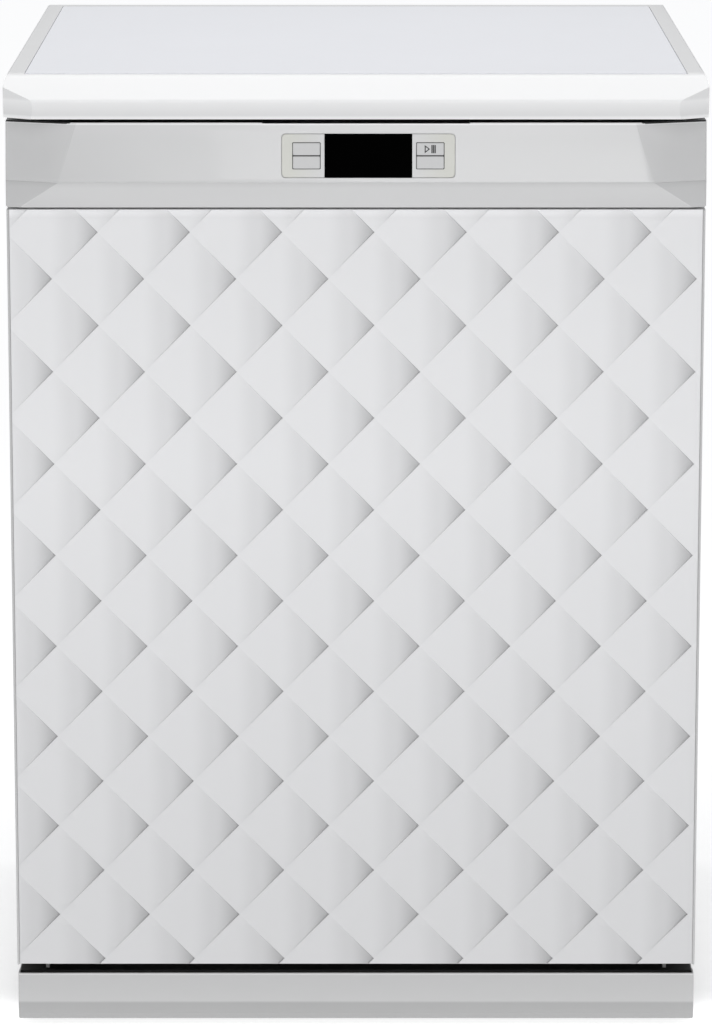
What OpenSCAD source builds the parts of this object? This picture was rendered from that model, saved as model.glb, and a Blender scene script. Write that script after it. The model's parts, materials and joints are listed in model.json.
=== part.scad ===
// Dishwasher, 598 mm wide: steel cabinet with a worktop lid, a drop-down door with a quilted decor
// panel, two pull-out baskets, two spray arms and the machinery in the base.
// Frame: origin on the floor under the middle of the plan, +Z up, the door faces -Y, millimetres.

/* [Overall] */
// Width over the side panels and the door
body_w = 598; // [590:1:720]
// Height over the lid, feet screwed in
total_h = 850; // [820:1:1020]
// Depth over the lid, front nose to back edge
depth = 600; // [590:1:720]
// Gauge of the cabinet, tub and door sheets
sheet = 1; // [0.8:0.1:1.2]

/* [Lid] */
// Height of the lid
lid_h = 36.7; // [30:0.1:45]
// How far the lid stands out past each side panel
lid_overhang = 1; // [0.5:0.5:4]
// Width of the plastic surround beside the board
lid_rim = 18; // [14:1:30]
// Depth of the rounded front nose
lid_nose = 28; // [22:1:36]
// Thickness of the laminated board
board_t = 16; // [12:1:18]
// Gap between the lid and the top of the door
lid_gap = 3.6; // [2.5:0.1:5]

/* [Door] */
// Thickness of the door, decor face to inner liner
door_t = 49.5; // [46:0.5:52]
// Height of the door's lower edge above the floor
door_bottom = 60.5; // [60:0.1:63]
// Height of the control fascia
fascia_h = 73.5; // [70:0.1:90]
// Gap between the fascia and the decor panel
fascia_gap = 2.7; // [2:0.1:5]
// Thickness of the decor panel
decor_t = 3; // [2.5:0.5:4]
// Width of the steel rim beside the decor panel
decor_rim = 2; // [1.5:0.5:4]
// Horizontal width of a quilted diamond
quilt_w = 79; // [60:1:120]
// Height of a quilted diamond
quilt_h = 80.9; // [60:0.1:120]
// Wall thickness of the moulded fascia
fascia_wall = 2.5; // [2:0.1:3]
// Height of the hinge axis above the floor
hinge_z = 66; // [65:0.5:67]

/* [Controls] */
// Width of the control plate
plate_w = 147.5; // [140:0.5:180]
// Height of the control plate
plate_h = 37.3; // [36:0.1:42]
// Offset of the control plate from the middle of the door
plate_x = 10.5; // [-60:0.1:60]
// Width of the display window
display_w = 74.5; // [60:0.1:80]
// Width of a button
button_w = 23.5; // [20:0.1:26]
// Height of a button
button_h = 10.9; // [9:0.1:12]
// Distance from the display's middle to a button's middle
button_x = 52.6; // [50.5:0.1:54]
// How far a button is pressed in
button_travel = 1.2; // [0.8:0.1:1.8]
// Width of the finger grip
grip_w = 177; // [120:1:200]

/* [Tub] */
// Gap between the tub and the cabinet side, where hinges, springs and water chamber sit
side_gap = 42; // [40:1:48]
// Height of the tub floor above the floor
tub_floor = 96; // [94:0.5:98]
// Height of the ledges that the lower basket rolls on, above the tub floor
ledge_h = 10; // [9:0.5:12]

/* [Baskets] */
// Thickness of the basket grid bars
wire = 4; // [3:0.5:5]
// Spacing of the basket grid bars
pitch = 44; // [34:1:60]
// Height of the basket walls
basket_h = 126; // [90:1:140]
// Height of the lower basket's floor above its rolling ledge
lower_lift = 50; // [46:1:60]
// Height of the upper basket's floor above the tub floor
upper_lift = 334; // [320:1:360]
// Radius of the lower basket's wheels
wheel_r = 18; // [14:0.5:20]
// Width of a wheel
wheel_w = 12; // [8:0.5:14]
// Reach of the spray arms from their hub
arm_reach = 208; // [180:1:212]
// Height of a plate tine
tine_h = 66; // [50:1:80]

/* [Base] */
// Height of the plinth's top edge
plinth_top = 50; // [46:0.5:51]
// Thickness of the base tray's walls
base_wall = 3; // [2.5:0.5:4]
// Radius of a levelling foot's disc
foot_r = 20; // [16:1:24]
// Radius of a levelling foot's screw
foot_screw_r = 5; // [4:0.5:6]
// Radius of the water inlet's 3/4 inch male thread
inlet_r = 13.2; // [12:0.1:14]
// Radius of the drain hose spigot
drain_r = 9.5; // [8:0.5:11]

/* [Hidden] */
$fn = 48;

gap = 0.5;          // gap between pieces that only sit beside each other
fit = 0.05;         // radial clearance of a pin in its bore
ease = 0.3;         // radial clearance of a part that is turned or lifted out by hand

half_w = body_w / 2;
lid_half = half_w + lid_overhang;
lid_z = total_h - lid_h;
front_y = -depth / 2;
back_y = depth / 2;
side_in = half_w - sheet;

// Planes through the door, front to back, and levels up the door
decor_y = front_y + 25;
hinge_y = decor_y + 10;
liner_y = decor_y + door_t;
fascia_top = lid_z - lid_gap;
fascia_bottom = fascia_top - fascia_h;
crease_z = fascia_bottom + 23;
panel_top = fascia_bottom - fascia_gap;
fascia_top_y = front_y + 9;
crease_y = front_y + 5;
fascia_bottom_y = front_y + 16;
fascia_back_y = liner_y - 6;
facet_back = 15;    // how far the end facets of the lid and the fascia lean back
grip_drop = 0.6;    // how far the fascia's edge is lowered at the finger grip
quilt_x = 15.9;     // where two grooves cross, and how far that is below the panel's top
quilt_drop = 19.8;

// Cabinet planes
body_front = liner_y + 7.5;
body_back = back_y - 20;
tub_half = half_w - side_gap;
tub_back = body_back - 17;
tub_top = lid_z - 33;
ledge_z = tub_floor + ledge_h;
ledge_w = 28;
flange_w = 29;
base_bottom = 15;
base_front = decor_y + 25;
base_top = 60;
post_x = [tub_half - ledge_w + 2, tub_half - 6];
post_y = [body_front + 26, tub_back - 20];
rail_h = 24;
plinth_y = decor_y + 7.5;
plinth_low = 8;
plinth_crease = 24.2;

// Hinges
pin_r = 4;
eye_r = 5.6;
bracket_x = tub_half + 15;
arm_x = bracket_x + 4;
hook_y = hinge_y + 40;
hook_z = hinge_z + 14;
spring_x = arm_x + 8;
spring_l = 150;
hinge_zone = 130;   // height up to which the liner is narrow, to clear the hinges

// Baskets
rack_front = body_front + 13;
rack_back = tub_back - 23;
lower_half = tub_half - 24;
upper_half = tub_half - 28;
lower_z = ledge_z + lower_lift;
upper_z = tub_floor + upper_lift;
wheel_z = ledge_z + wheel_r;
front_wheel_y = hinge_y + 182;
rear_wheel_y = rack_back - 55;
wheel_x = tub_half - ledge_w + 8;
axle_r = 3;
hub_y = (rack_front + rack_back) / 2;
slide_z = upper_z + 44;
slide_x = tub_half - 15;
basket_len = 210;
basket_w = 92;
basket_x = lower_half - 8 - basket_w;
basket_y = rack_front + 8;
shelf_x = -upper_half + 10;
shelf_z = upper_z + 86;
shelf_w = 96;
shelf_l = 220;
shelf_y = hub_y - 80;
tine_x = 18;
tine_pitch = 32;
tine_bar_r = 2.5;
tine_r = 2;
tine_row = [rack_front + 40, rack_back - 60];
tine_axis_z = lower_z + wire + 5;

// Controls, in the leaning plane of the fascia's upper face
lean = atan2(fascia_top_y - crease_y, fascia_top - crease_z);
plate_z = fascia_top - 27.7;
plate_y = crease_y + (plate_z - crease_z) * tan(lean);
plate_t = 2.2;
board_y = 11;
grip_x = plate_x - 2;

// Machinery in the base
sump_x = 20;
sump_y = hub_y - 38;
sump_r = 99;
filter_x = 50;
filter_y = hub_y - 80;
filter_r = 42;
pump_z = 52;
salt_x = -150;
salt_y = hub_y - 78;
salt_r = 32;
valve_x = -200;
drain_x = 190;
outlet_z = 52;
spigot_y = body_back + 1;
socket_x = -110;

// Dispenser on the inner liner
cup_x = 44;
cup_z = 380;
rinse_x = -44;
rinse_r = 23;

function unit(v) = v / norm(v);
// Points of an ellipse from angle a0 to a1 in n steps
function bow(c, r, a0, a1, n) =
  [for (i = [0:n]) let (a = a0 + (a1 - a0) * i / n) [c.x + r.x * cos(a), c.y + r.y * sin(a)]];

// A box between two opposite corners
module box(lo, hi) {
  translate(lo) cube(hi - lo);
}

// The children and their mirror image in the middle plane
module both_sides() {
  children();
  mirror([1, 0, 0]) children();
}

// A profile drawn in Y and Z, drawn out along X
module along_x(x0, x1) {
  translate([x0, 0, 0]) rotate([90, 0, 90]) linear_extrude(x1 - x0) children();
}

// A profile drawn in X and Z, drawn out along Y
module along_y(y0, y1) {
  translate([0, y1, 0]) rotate([90, 0, 0]) linear_extrude(y1 - y0) children();
}

// A round bar along X, and one along Y
module x_bar(r, x0, x1, y, z) {
  translate([x0, y, z]) rotate([0, 90, 0]) cylinder(r = r, h = x1 - x0);
}
module y_bar(r, y0, y1, x, z) {
  translate([x, y0, z]) rotate([-90, 0, 0]) cylinder(r = r, h = y1 - y0);
}

// Everything in front of the plane through three points
module in_front_of(p, q, r) {
  size = 200;
  u = unit(q - p);
  m = unit(cross(u, r - p));
  n = m.y < 0 ? m : -m;
  v = cross(n, u);
  multmatrix([[u.x, v.x, n.x, p.x], [u.y, v.y, n.y, p.y], [u.z, v.z, n.z, p.z], [0, 0, 0, 1]])
    translate([-size, -size, 0]) cube([2 * size, 2 * size, size]);
}

// A flat grid of bars between two corners in the XY plane, standing on z = 0
module grid(w, h, pitch) {
  nx = max(1, round((w - wire) / pitch));
  ny = max(1, round((h - wire) / pitch));
  hole = [(w - wire) / nx - wire, (h - wire) / ny - wire];
  linear_extrude(wire) difference() {
    square([w, h]);
    for (i = [0:nx - 1]) {
      for (j = [0:ny - 1]) {
        translate([wire + i * (hole.x + wire), wire + j * (hole.y + wire)]) square(hole);
      }
    }
  }
}

// ---- Lid -------------------------------------------------------------------------------------

module lid_outline() {
  nose = bow([front_y + lid_nose, total_h - 24], [lid_nose, 24], 180, 90, 10);
  side = bow([-lid_half + 5, total_h - 12], [5, 12], 180, 90, 5);
  intersection() {
    along_x(-lid_half, lid_half)
      polygon(concat([[back_y, lid_z], [front_y + 3, lid_z], [front_y, lid_z + 3]], nose,
        [[back_y, total_h]]));
    along_y(front_y, back_y)
      polygon(concat([[lid_half, lid_z], [-lid_half, lid_z]], side,
        [for (i = [len(side) - 1:-1:0]) [-side[i].x, side[i].y]]));
  }
}

module lid_facet() {
  in_front_of([lid_half - 21, front_y, total_h - 7], [lid_half - 30, front_y, lid_z],
    [lid_half, front_y + facet_back, (total_h + lid_z) / 2]);
}

module board_space(c) {
  box([-lid_half + lid_rim - c, front_y + lid_nose - c, total_h - board_t],
    [lid_half - lid_rim + c, back_y - lid_rim + c, total_h]);
}

module lid_frame() {
  ledge = 12;
  color("whitesmoke") difference() {
    lid_outline();
    both_sides() lid_facet();
    board_space(gap / 2);
    box([-lid_half + lid_rim + ledge, front_y + lid_nose + ledge, lid_z],
      [lid_half - lid_rim - ledge, back_y - lid_rim - ledge, total_h - board_t]);
  }
}

module lid_board() {
  color("white") board_space(-gap / 2);
}

// ---- Cabinet ---------------------------------------------------------------------------------

module base_tray() {
  color("dimgray") {
    difference() {
      union() {
        box([-side_in, base_front, base_bottom], [side_in, body_back - sheet, base_top]);
        both_sides() {
          for (y = post_y) {
            box([post_x[0], y - 9, base_bottom], [post_x[1], y + 9, ledge_z - sheet]);
          }
        }
      }
      difference() {
        box([-side_in + base_wall, body_front + 4, base_bottom + base_wall],
          [side_in - base_wall, body_back - sheet - base_wall, base_top]);
        both_sides() {
          for (y = post_y) {
            box([post_x[0], y - 9, base_bottom], [post_x[1], y + 9, base_top]);
          }
          for (y = [base_front + 30, body_back - 40]) {
            translate([half_w - 40, y, base_bottom]) cylinder(r = 13, h = base_top);
          }
          box([bracket_x - 4, body_front + 4, base_bottom],
            [bracket_x + 22, body_front + 66, plinth_top - 2]);
        }
      }
      box([-side_in, base_front - 1, plinth_top - 2], [side_in, body_front + 4, base_top]);
      both_sides() {
        for (y = [base_front + 30, body_back - 40]) {
          translate([half_w - 40, y, 0]) cylinder(r = foot_screw_r + fit, h = base_top + 1);
        }
      }
      y_bar(inlet_r + ease, body_back - sheet - base_wall - 1, body_back, valve_x, outlet_z);
      y_bar(drain_r + ease, body_back - sheet - base_wall - 1, body_back, drain_x, outlet_z);
      box([socket_x - 18, body_back - 10, outlet_z - 12], [socket_x + 18, body_back, base_top]);
    }
  }
}

module side_panel() {
  flange = 11;
  box([side_in, body_front, base_bottom + 5], [half_w, body_back, lid_z]);
  box([side_in - flange, body_front, base_top + 4], [side_in, body_front + sheet, lid_z]);
  box([side_in - flange, body_back - sheet, base_top + 4], [side_in, body_back, lid_z]);
}

module side_panel_left() {
  color("gainsboro") mirror([1, 0, 0]) side_panel();
}

module side_panel_right() {
  color("gainsboro") side_panel();
}

module back_panel() {
  y = body_back - sheet;
  color("silver") difference() {
    union() {
      box([-side_in + 11 + gap, y, base_bottom + 5], [side_in - 11 - gap, y + sheet, lid_z]);
      for (i = [-1, 0, 1]) {
        box([i * 150 - 50, y - 3, 180], [i * 150 + 50, y, total_h - 120]);
      }
    }
    y_bar(inlet_r + 3, y - 5, body_back + 1, valve_x, outlet_z);
    y_bar(drain_r + 3, y - 5, body_back + 1, drain_x, outlet_z);
    box([socket_x - 18, y - 1, outlet_z - 12], [socket_x + 18, body_back + 1, outlet_z + 12]);
    for (i = [-1, 0, 1]) {
      box([i * 150 - 49, y - 2, 181], [i * 150 + 49, y + 2, total_h - 121]);
    }
  }
}

module tub_profile(s) {
  x = tub_half + s;
  xl = tub_half - ledge_w + s;
  polygon([[-xl, tub_floor - s], [xl, tub_floor - s], [xl, ledge_z - s], [x, ledge_z - s],
    [x, tub_top + s], [-x, tub_top + s], [-x, ledge_z - s], [-xl, ledge_z - s]]);
}

module tub() {
  flange_z = ledge_z - 16;
  color("lightsteelblue") difference() {
    union() {
      along_y(body_front, tub_back + sheet) tub_profile(sheet);
      box([-tub_half - flange_w, body_front, ledge_z + 8],
        [tub_half + flange_w, body_front + sheet, tub_top + 15]);
      box([-tub_half + ledge_w, body_front, flange_z], [tub_half - ledge_w, body_front + sheet, ledge_z]);
    }
    along_y(body_front - 1, tub_back) tub_profile(0);
    translate([sump_x, sump_y, tub_floor - 5]) cylinder(r = sump_r + gap, h = 10);
    translate([salt_x, salt_y, tub_floor - 5]) cylinder(r = salt_r + 3, h = 10);
    translate([0, tub_back - 8, tub_floor - 5]) cylinder(r = 7 + gap, h = 10);
  }
}

module tub_gasket() {
  t = 13;
  y0 = liner_y + ease;
  color("dimgray") difference() {
    box([-tub_half - t, y0, ledge_z + 12], [tub_half + t, body_front, tub_top + t]);
    box([-tub_half + 1, y0 - 1, 0], [tub_half - 1, body_front + 1, tub_top - 1]);
    box([-tub_half - 5, y0 - 1, 0], [tub_half + 5, y0 + 3, tub_top + 5]);
  }
}

module lower_seal() {
  color("dimgray")
    box([-tub_half + ledge_w, body_front - 5, ledge_z - 12], [tub_half - ledge_w, body_front, ledge_z - 2]);
}

module top_rail() {
  y0 = body_front + sheet;
  color("silver") difference() {
    box([-side_in, y0, tub_top + 16], [side_in, y0 + 26, lid_z]);
    box([-side_in - 1, y0 + 2, tub_top + 15], [side_in + 1, y0 + 27, lid_z - 2]);
  }
}

module door_strike() {
  z = tub_top + 17;
  w = 28;
  color("silver") difference() {
    union() {
      box([grip_x - w / 2, body_front - 14, z], [grip_x + w / 2, body_front + sheet, z + 3]);
      box([grip_x - w / 2, body_front - 2, z], [grip_x + w / 2, body_front + sheet, z + 12]);
    }
    box([grip_x - w / 2 + 6, body_front - 10, z - 1], [grip_x + w / 2 - 6, body_front - 5, z + 4]);
  }
}

module hinge_bracket() {
  seat_z = plinth_top - 2;
  difference() {
    union() {
      x_bar(eye_r, bracket_x, bracket_x + 3, hinge_y, hinge_z);
      along_x(bracket_x, bracket_x + 3)
        polygon([[hinge_y, hinge_z - 0.5], [hinge_y + 6, hinge_z - 0.5], [hinge_y + 10, seat_z + 4],
          [body_front + 4, seat_z + 3], [body_front + 4, seat_z], [body_front + 64, seat_z],
          [body_front + 64, hinge_z], [hinge_y + 20, hinge_z + 6], [hinge_y, hinge_z + eye_r]]);
      box([bracket_x, body_front + 6, seat_z], [bracket_x + 20, body_front + 64, seat_z + 3]);
      x_bar(pin_r, bracket_x, arm_x + 5, hinge_y, hinge_z);
    }
    for (y = [20, 50]) {
      translate([bracket_x + 12, body_front + y, seat_z - 1]) cylinder(r = 2.2, h = 5);
    }
  }
}

module hinge_brackets() {
  color("silver") both_sides() hinge_bracket();
}

// A closed coil tension spring is drawn as its envelope tube with a hook plate at each end
module door_spring() {
  r = 7;
  difference() {
    y_bar(r, hook_y + 12, hook_y + spring_l, spring_x + 1, hook_z);
    y_bar(r - 2, hook_y + 11, hook_y + spring_l + 1, spring_x + 1, hook_z);
  }
  box([spring_x, hook_y + 5, hook_z - 6], [spring_x + 2, hook_y + 14, hook_z + 6]);
  box([spring_x, hook_y + spring_l - 2, hook_z - 6], [spring_x + 2, hook_y + spring_l + 10, hook_z + 6]);
}

module door_springs() {
  color("slategray") both_sides() door_spring();
}

module rack_rail() {
  x = tub_half;
  z0 = slide_z - rail_h / 2;
  z1 = slide_z + rail_h / 2;
  along_y(rack_front - 4, rack_back)
    polygon([[x, z0], [x, z1], [x - 7, z1], [x - 7, z1 - 3], [x - 2, z1 - 3], [x - 2, z0 + 3],
      [x - 7, z0 + 3], [x - 7, z0]]);
}

module rack_rails() {
  color("lightgray") both_sides() rack_rail();
}

// The plinth's front, creased along its length, with its back edge at the given depth
module plinth_profile(back) {
  polygon([[plinth_y + 1.5, plinth_top], [plinth_y, plinth_crease], [plinth_y + 2.5, plinth_low],
    [back, plinth_low], [back, plinth_top]]);
}

module plinth() {
  t = 2.5;
  end = half_w - sheet;
  color("gainsboro") {
    difference() {
      along_x(-half_w, half_w) plinth_profile(base_front);
      for (dz = [-1, 1]) {
        translate([0, t, dz]) along_x(-end, end) plinth_profile(base_front);
      }
    }
    both_sides() {
      box([end, base_front, plinth_low + 1], [half_w, body_front - gap, plinth_top - t]);
      box([half_w - 60, plinth_y + 2, plinth_crease + 2], [half_w - 48, base_front, plinth_top - 12]);
    }
  }
}

// ---- Machinery in the base -------------------------------------------------------------------

module sump() {
  color("gray") difference() {
    union() {
      translate([sump_x, sump_y, tub_floor - 3]) cylinder(r = sump_r, h = 4);
      translate([filter_x, filter_y, base_bottom + 8]) cylinder(r = 48, h = tub_floor - base_bottom - 9);
      translate([0, hub_y, tub_floor - 3]) cylinder(r = 18, h = 22);
      translate([0, hub_y, tub_floor]) cylinder(r = 8, h = 40);
    }
    translate([filter_x, filter_y, base_bottom + 14]) cylinder(r = filter_r + ease, h = 100);
    for (a = [100:32:260]) {
      translate([sump_x, sump_y, 0]) rotate(a) box([66, -3, tub_floor - 4], [88, 3, tub_floor + 5]);
    }
  }
}

module filter() {
  top = tub_floor + 2;
  color("lightgray") {
    difference() {
      translate([filter_x, filter_y, base_bottom + 15]) cylinder(r = filter_r, h = top - base_bottom - 15);
      translate([filter_x, filter_y, base_bottom + 17]) cylinder(r = filter_r - 3, h = 100);
      for (a = [0:30:150]) {
        translate([filter_x, filter_y, 0]) rotate(a) box([-50, -4, 40], [50, 4, 80]);
      }
    }
    translate([filter_x, filter_y, base_bottom + 15]) cylinder(r = 14, h = top - base_bottom - 3);
    translate([filter_x, filter_y, top - 3]) rotate(40) box([-filter_r + 1, -3, 0], [filter_r - 1, 3, 3]);
    translate([filter_x, filter_y, top]) rotate(40) box([-12, -3, 0], [12, 3, 14]);
  }
}

module circulation_pump() {
  y = filter_y;
  color("dimgray") {
    x_bar(29, 112, 150, y, pump_z);
    x_bar(24, 150, 222, y, pump_z);
    for (x = [160:12:212]) {
      x_bar(26, x, x + 3, y, pump_z);
    }
    box([150, y - 12, base_bottom + base_wall], [210, y + 12, pump_z - 20]);
  }
}

module flow_heater() {
  color("silver") {
    y_bar(21, filter_y + 80, filter_y + 200, 200, pump_z);
    y_bar(23, filter_y + 90, filter_y + 94, 200, pump_z);
    y_bar(23, filter_y + 186, filter_y + 190, 200, pump_z);
    box([194, filter_y + 130, pump_z + 18], [206, filter_y + 160, pump_z + 30]);
  }
}

module drain_pump() {
  wall_y = body_back - sheet;
  color("darkgray") difference() {
    union() {
      y_bar(22, wall_y - 78, wall_y - 26, drain_x, outlet_z);
      y_bar(16, wall_y - 26, wall_y - 12, drain_x, outlet_z);
      y_bar(drain_r - 1, wall_y - 12, spigot_y, drain_x, outlet_z);
      y_bar(drain_r, spigot_y, back_y - 2, drain_x, outlet_z);
    }
    y_bar(drain_r - 2.5, wall_y - 40, back_y, drain_x, outlet_z);
  }
}

module inlet_valve() {
  wall_y = body_back - sheet;
  color("white") difference() {
    union() {
      box([valve_x - 22, wall_y - 50, outlet_z - 18], [valve_x + 22, wall_y - 10, outlet_z + 16]);
      translate([valve_x, wall_y - 36, outlet_z + 16]) cylinder(r = 11, h = 20);
      y_bar(inlet_r - 1, wall_y - 10, spigot_y, valve_x, outlet_z);
      y_bar(inlet_r, spigot_y, back_y - 2, valve_x, outlet_z);
    }
    y_bar(inlet_r - 4, wall_y - 30, back_y, valve_x, outlet_z);
  }
}

module mains_inlet() {
  wall_y = body_back;
  z = outlet_z;
  color("black") {
    difference() {
      union() {
        box([socket_x - 16, wall_y - 24, z - 11], [socket_x + 16, wall_y + 2, z + 11]);
        box([socket_x - 20, wall_y, z - 14], [socket_x + 20, wall_y + 3, z + 14]);
      }
      box([socket_x - 13, wall_y - 15, z - 9], [socket_x + 13, wall_y + 4, z + 9]);
    }
    for (dx = [-7, 0, 7]) {
      box([socket_x + dx - 1, wall_y - 15, z - 3], [socket_x + dx + 1, wall_y, z + 3]);
    }
  }
}

module power_module() {
  y = body_back - 100;
  color("seagreen") {
    difference() {
      box([socket_x - 36, y, base_bottom + base_wall], [socket_x + 36, y + 56, base_top]);
      box([socket_x - 33, y + 3, base_bottom + base_wall + 4], [socket_x + 33, y + 53, base_top + 1]);
    }
    box([socket_x - 14, y + 12, base_bottom + base_wall + 4], [socket_x + 14, y + 40, base_top - 12]);
  }
}

module water_chamber() {
  x = -side_in + 2;
  color("whitesmoke") difference() {
    box([x, hub_y - 130, hinge_zone + 20], [x + side_gap - 10, hub_y + 140, upper_z + 130]);
    for (z = [hinge_zone + 60:60:upper_z + 100]) {
      box([x - 1, hub_y - 110, z], [x + 3, hub_y + 120, z + 6]);
    }
  }
}

module riser_tube() {
  y = tub_back - 8;
  color("lightgray") {
    translate([0, y, tub_floor - 20]) cylinder(r = 7, h = upper_z - 9 - tub_floor + 28);
    y_bar(8.5, rack_back + 5, y, 0, upper_z - 9);
  }
}

module softener() {
  color("whitesmoke") difference() {
    union() {
      box([-236, salt_y - 70, base_bottom + base_wall], [-72, salt_y + 150, tub_floor - 8]);
      translate([salt_x, salt_y, tub_floor - 8]) cylinder(r = salt_r + 2, h = 9);
    }
    translate([salt_x, salt_y, base_bottom + 20]) cylinder(r = salt_r - 5, h = 100);
  }
}

module salt_cap() {
  color("steelblue") {
    translate([salt_x, salt_y, tub_floor + 1]) cylinder(r = salt_r, h = 6);
    translate([salt_x, salt_y, tub_floor - 16]) cylinder(r = salt_r - 5 - ease, h = 17);
    translate([salt_x, salt_y, tub_floor + 7]) rotate(25) box([-20, -3.5, 0], [20, 3.5, 7]);
  }
}

// Rubber hoses push over their spigots, so their ends go a little way in
module hoses() {
  grip = 4;
  back = tub_back - 8;
  low = base_bottom + 14;
  hot_y = filter_y + 222;
  color("black") {
    x_bar(14, filter_x + 48 - grip, 112, filter_y, pump_z);
    y_bar(11, filter_y + 29 - grip, filter_y + 80, 200, pump_z);
    y_bar(11, filter_y + 200, hot_y, 200, pump_z);
    translate([200, hot_y, pump_z]) sphere(r = 11);
    x_bar(11, 0, 200, hot_y, pump_z);
    translate([0, hot_y, pump_z]) sphere(r = 11);
    y_bar(11, hot_y, back, 0, pump_z);
    translate([0, back, pump_z]) sphere(r = 11);
    translate([0, back, pump_z]) cylinder(r = 11, h = tub_floor - 14 - pump_z);
    y_bar(8, filter_y + 48 - grip, body_back - 50, filter_x, low);
    translate([filter_x, body_back - 50, low]) sphere(r = 8);
    x_bar(8, filter_x, drain_x - 10, body_back - 50, low);
  }
}

// A levelling foot stands on the floor and screws into the base tray
module foot(x, y) {
  color("darkslategray") {
    translate([x, y, 0]) cylinder(r = foot_r, h = 8);
    translate([x, y, 8]) cylinder(r = foot_r - 8, h = 5);
    translate([x, y, 13]) cylinder(r = foot_screw_r, h = 32);
  }
}

module foot_front_left() {
  foot(-half_w + 40, base_front + 30);
}
module foot_front_right() {
  foot(half_w - 40, base_front + 30);
}
module foot_rear_left() {
  foot(-half_w + 40, body_back - 40);
}
module foot_rear_right() {
  foot(half_w - 40, body_back - 40);
}

// ---- Door ------------------------------------------------------------------------------------

module door_outer_panel() {
  back = liner_y - 12;
  floor_y = decor_y + decor_t;
  color("gainsboro") {
    box([-half_w, floor_y, door_bottom], [half_w, floor_y + sheet, panel_top]);
    both_sides() {
      box([half_w - decor_rim, decor_y, door_bottom], [half_w, floor_y, panel_top]);
      box([half_w - sheet, floor_y, door_bottom], [half_w, back, panel_top]);
    }
    box([-tub_half - 10, floor_y, door_bottom], [tub_half + 10, back, door_bottom + sheet]);
    box([-half_w, floor_y, panel_top - sheet], [half_w, back, panel_top]);
  }
}

// The quilting is a lattice of crossing grooves
module quilt_grooves(w, z0, z1) {
  a = atan2(quilt_h, quilt_w);
  n = ceil((w / quilt_w + (z1 - z0) / quilt_h) / 2) + 1;
  for (i = [-n:n]) {
    for (s = [-1, 1]) {
      translate([quilt_x + i * quilt_w, decor_y, panel_top - quilt_drop])
        rotate([0, s * a, 0]) box([-1500, -1, -0.5], [1500, 0.6, 0.5]);
    }
  }
}

module door_decor_panel() {
  w = half_w - decor_rim - ease;
  color("whitesmoke") difference() {
    box([-w, decor_y, door_bottom + ease], [w, decor_y + decor_t, panel_top - ease]);
    quilt_grooves(2 * w, door_bottom, panel_top);
  }
}

module door_inner_liner() {
  half = half_w - 3;
  lip = 18;
  top = fascia_top - 3;
  color("lightsteelblue") difference() {
    union() {
      box([-half, liner_y - sheet, hinge_zone], [half, liner_y, top]);
      box([-tub_half - 12, liner_y - sheet, hinge_z], [tub_half + 12, liner_y, hinge_zone]);
      both_sides() box([half - sheet, liner_y - lip, hinge_zone], [half, liner_y, panel_top - 2]);
      box([-tub_half - 12, liner_y - lip, hinge_z], [tub_half + 12, liner_y, hinge_z + sheet]);
    }
    box([rinse_x - 36, liner_y - 5, cup_z - 53], [cup_x + 56, liner_y + 1, cup_z + 53]);
    box([grip_x - 20, liner_y - 5, tub_top + 10], [grip_x + 20, liner_y + 1, tub_top + 24.5]);
  }
}

module door_insulation() {
  color("tan")
    box([-tub_half, decor_y + decor_t + sheet + 1, hinge_z + 14],
      [tub_half, decor_y + 17, panel_top - 4]);
}

module hinge_arm() {
  x1 = arm_x + 4;
  difference() {
    union() {
      x_bar(eye_r, arm_x, x1, hinge_y, hinge_z);
      along_x(arm_x, x1)
        polygon([[hinge_y - 5.5, hinge_z], [hinge_y + 4, hinge_z - 4], [hook_y, hook_z - 6],
          [hook_y + 4, hook_z], [hook_y, hook_z + 6], [hinge_y + 22, hinge_z + 34],
          [hinge_y + 22, hinge_z + 150], [hinge_y - 5.5, hinge_z + 150]]);
    }
    x_bar(pin_r + fit, arm_x - 1, x1 + 1, hinge_y, hinge_z);
    for (z = [60, 130]) {
      x_bar(2.5, arm_x - 1, x1 + 1, hinge_y + 10, hinge_z + z);
    }
  }
  x_bar(2.5, x1, x1 + 6, hook_y, hook_z);
  box([x1, hinge_y, hinge_z + 70], [half_w - 3 - sheet, hinge_y + 3, hinge_z + 140]);
}

module hinge_arms() {
  color("silver") both_sides() hinge_arm();
}

// The fascia's outer form, drawn in by a wall thickness and run out at the back for the hollow
module fascia_form(in, back) {
  end = half_w - in;
  crease = crease_y + in;
  difference() {
    along_x(-end, end)
      polygon([[fascia_top_y + in, fascia_top - in], [crease, crease_z],
        [fascia_bottom_y + in, fascia_bottom + in], [back, fascia_bottom + in],
        [back, fascia_top - in]]);
    both_sides() {
      in_front_of([half_w - 32.5, fascia_top_y + in, fascia_top], [half_w - 46, crease, crease_z],
        [half_w, crease + facet_back, crease_z]);
      in_front_of([half_w - 46, crease, crease_z], [half_w, crease + facet_back, crease_z],
        [half_w, fascia_bottom_y + in, fascia_bottom]);
    }
  }
}

// The leaning plane of the fascia: x along it, y going in, z up it, from the plate's middle
module on_fascia() {
  translate([plate_x, plate_y, plate_z]) rotate([-lean, 0, 0]) children();
}

// A rounded rectangle in that plane, from depth y0 to y1
module plaque(w, h, r, y0, y1) {
  along_y(y0, y1) union() {
    square([w - 2 * r, h], center = true);
    square([w, h - 2 * r], center = true);
    for (sx = [-1, 1]) {
      for (sz = [-1, 1]) {
        translate([sx * (w / 2 - r), sz * (h / 2 - r)]) circle(r = r);
      }
    }
  }
}

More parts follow.
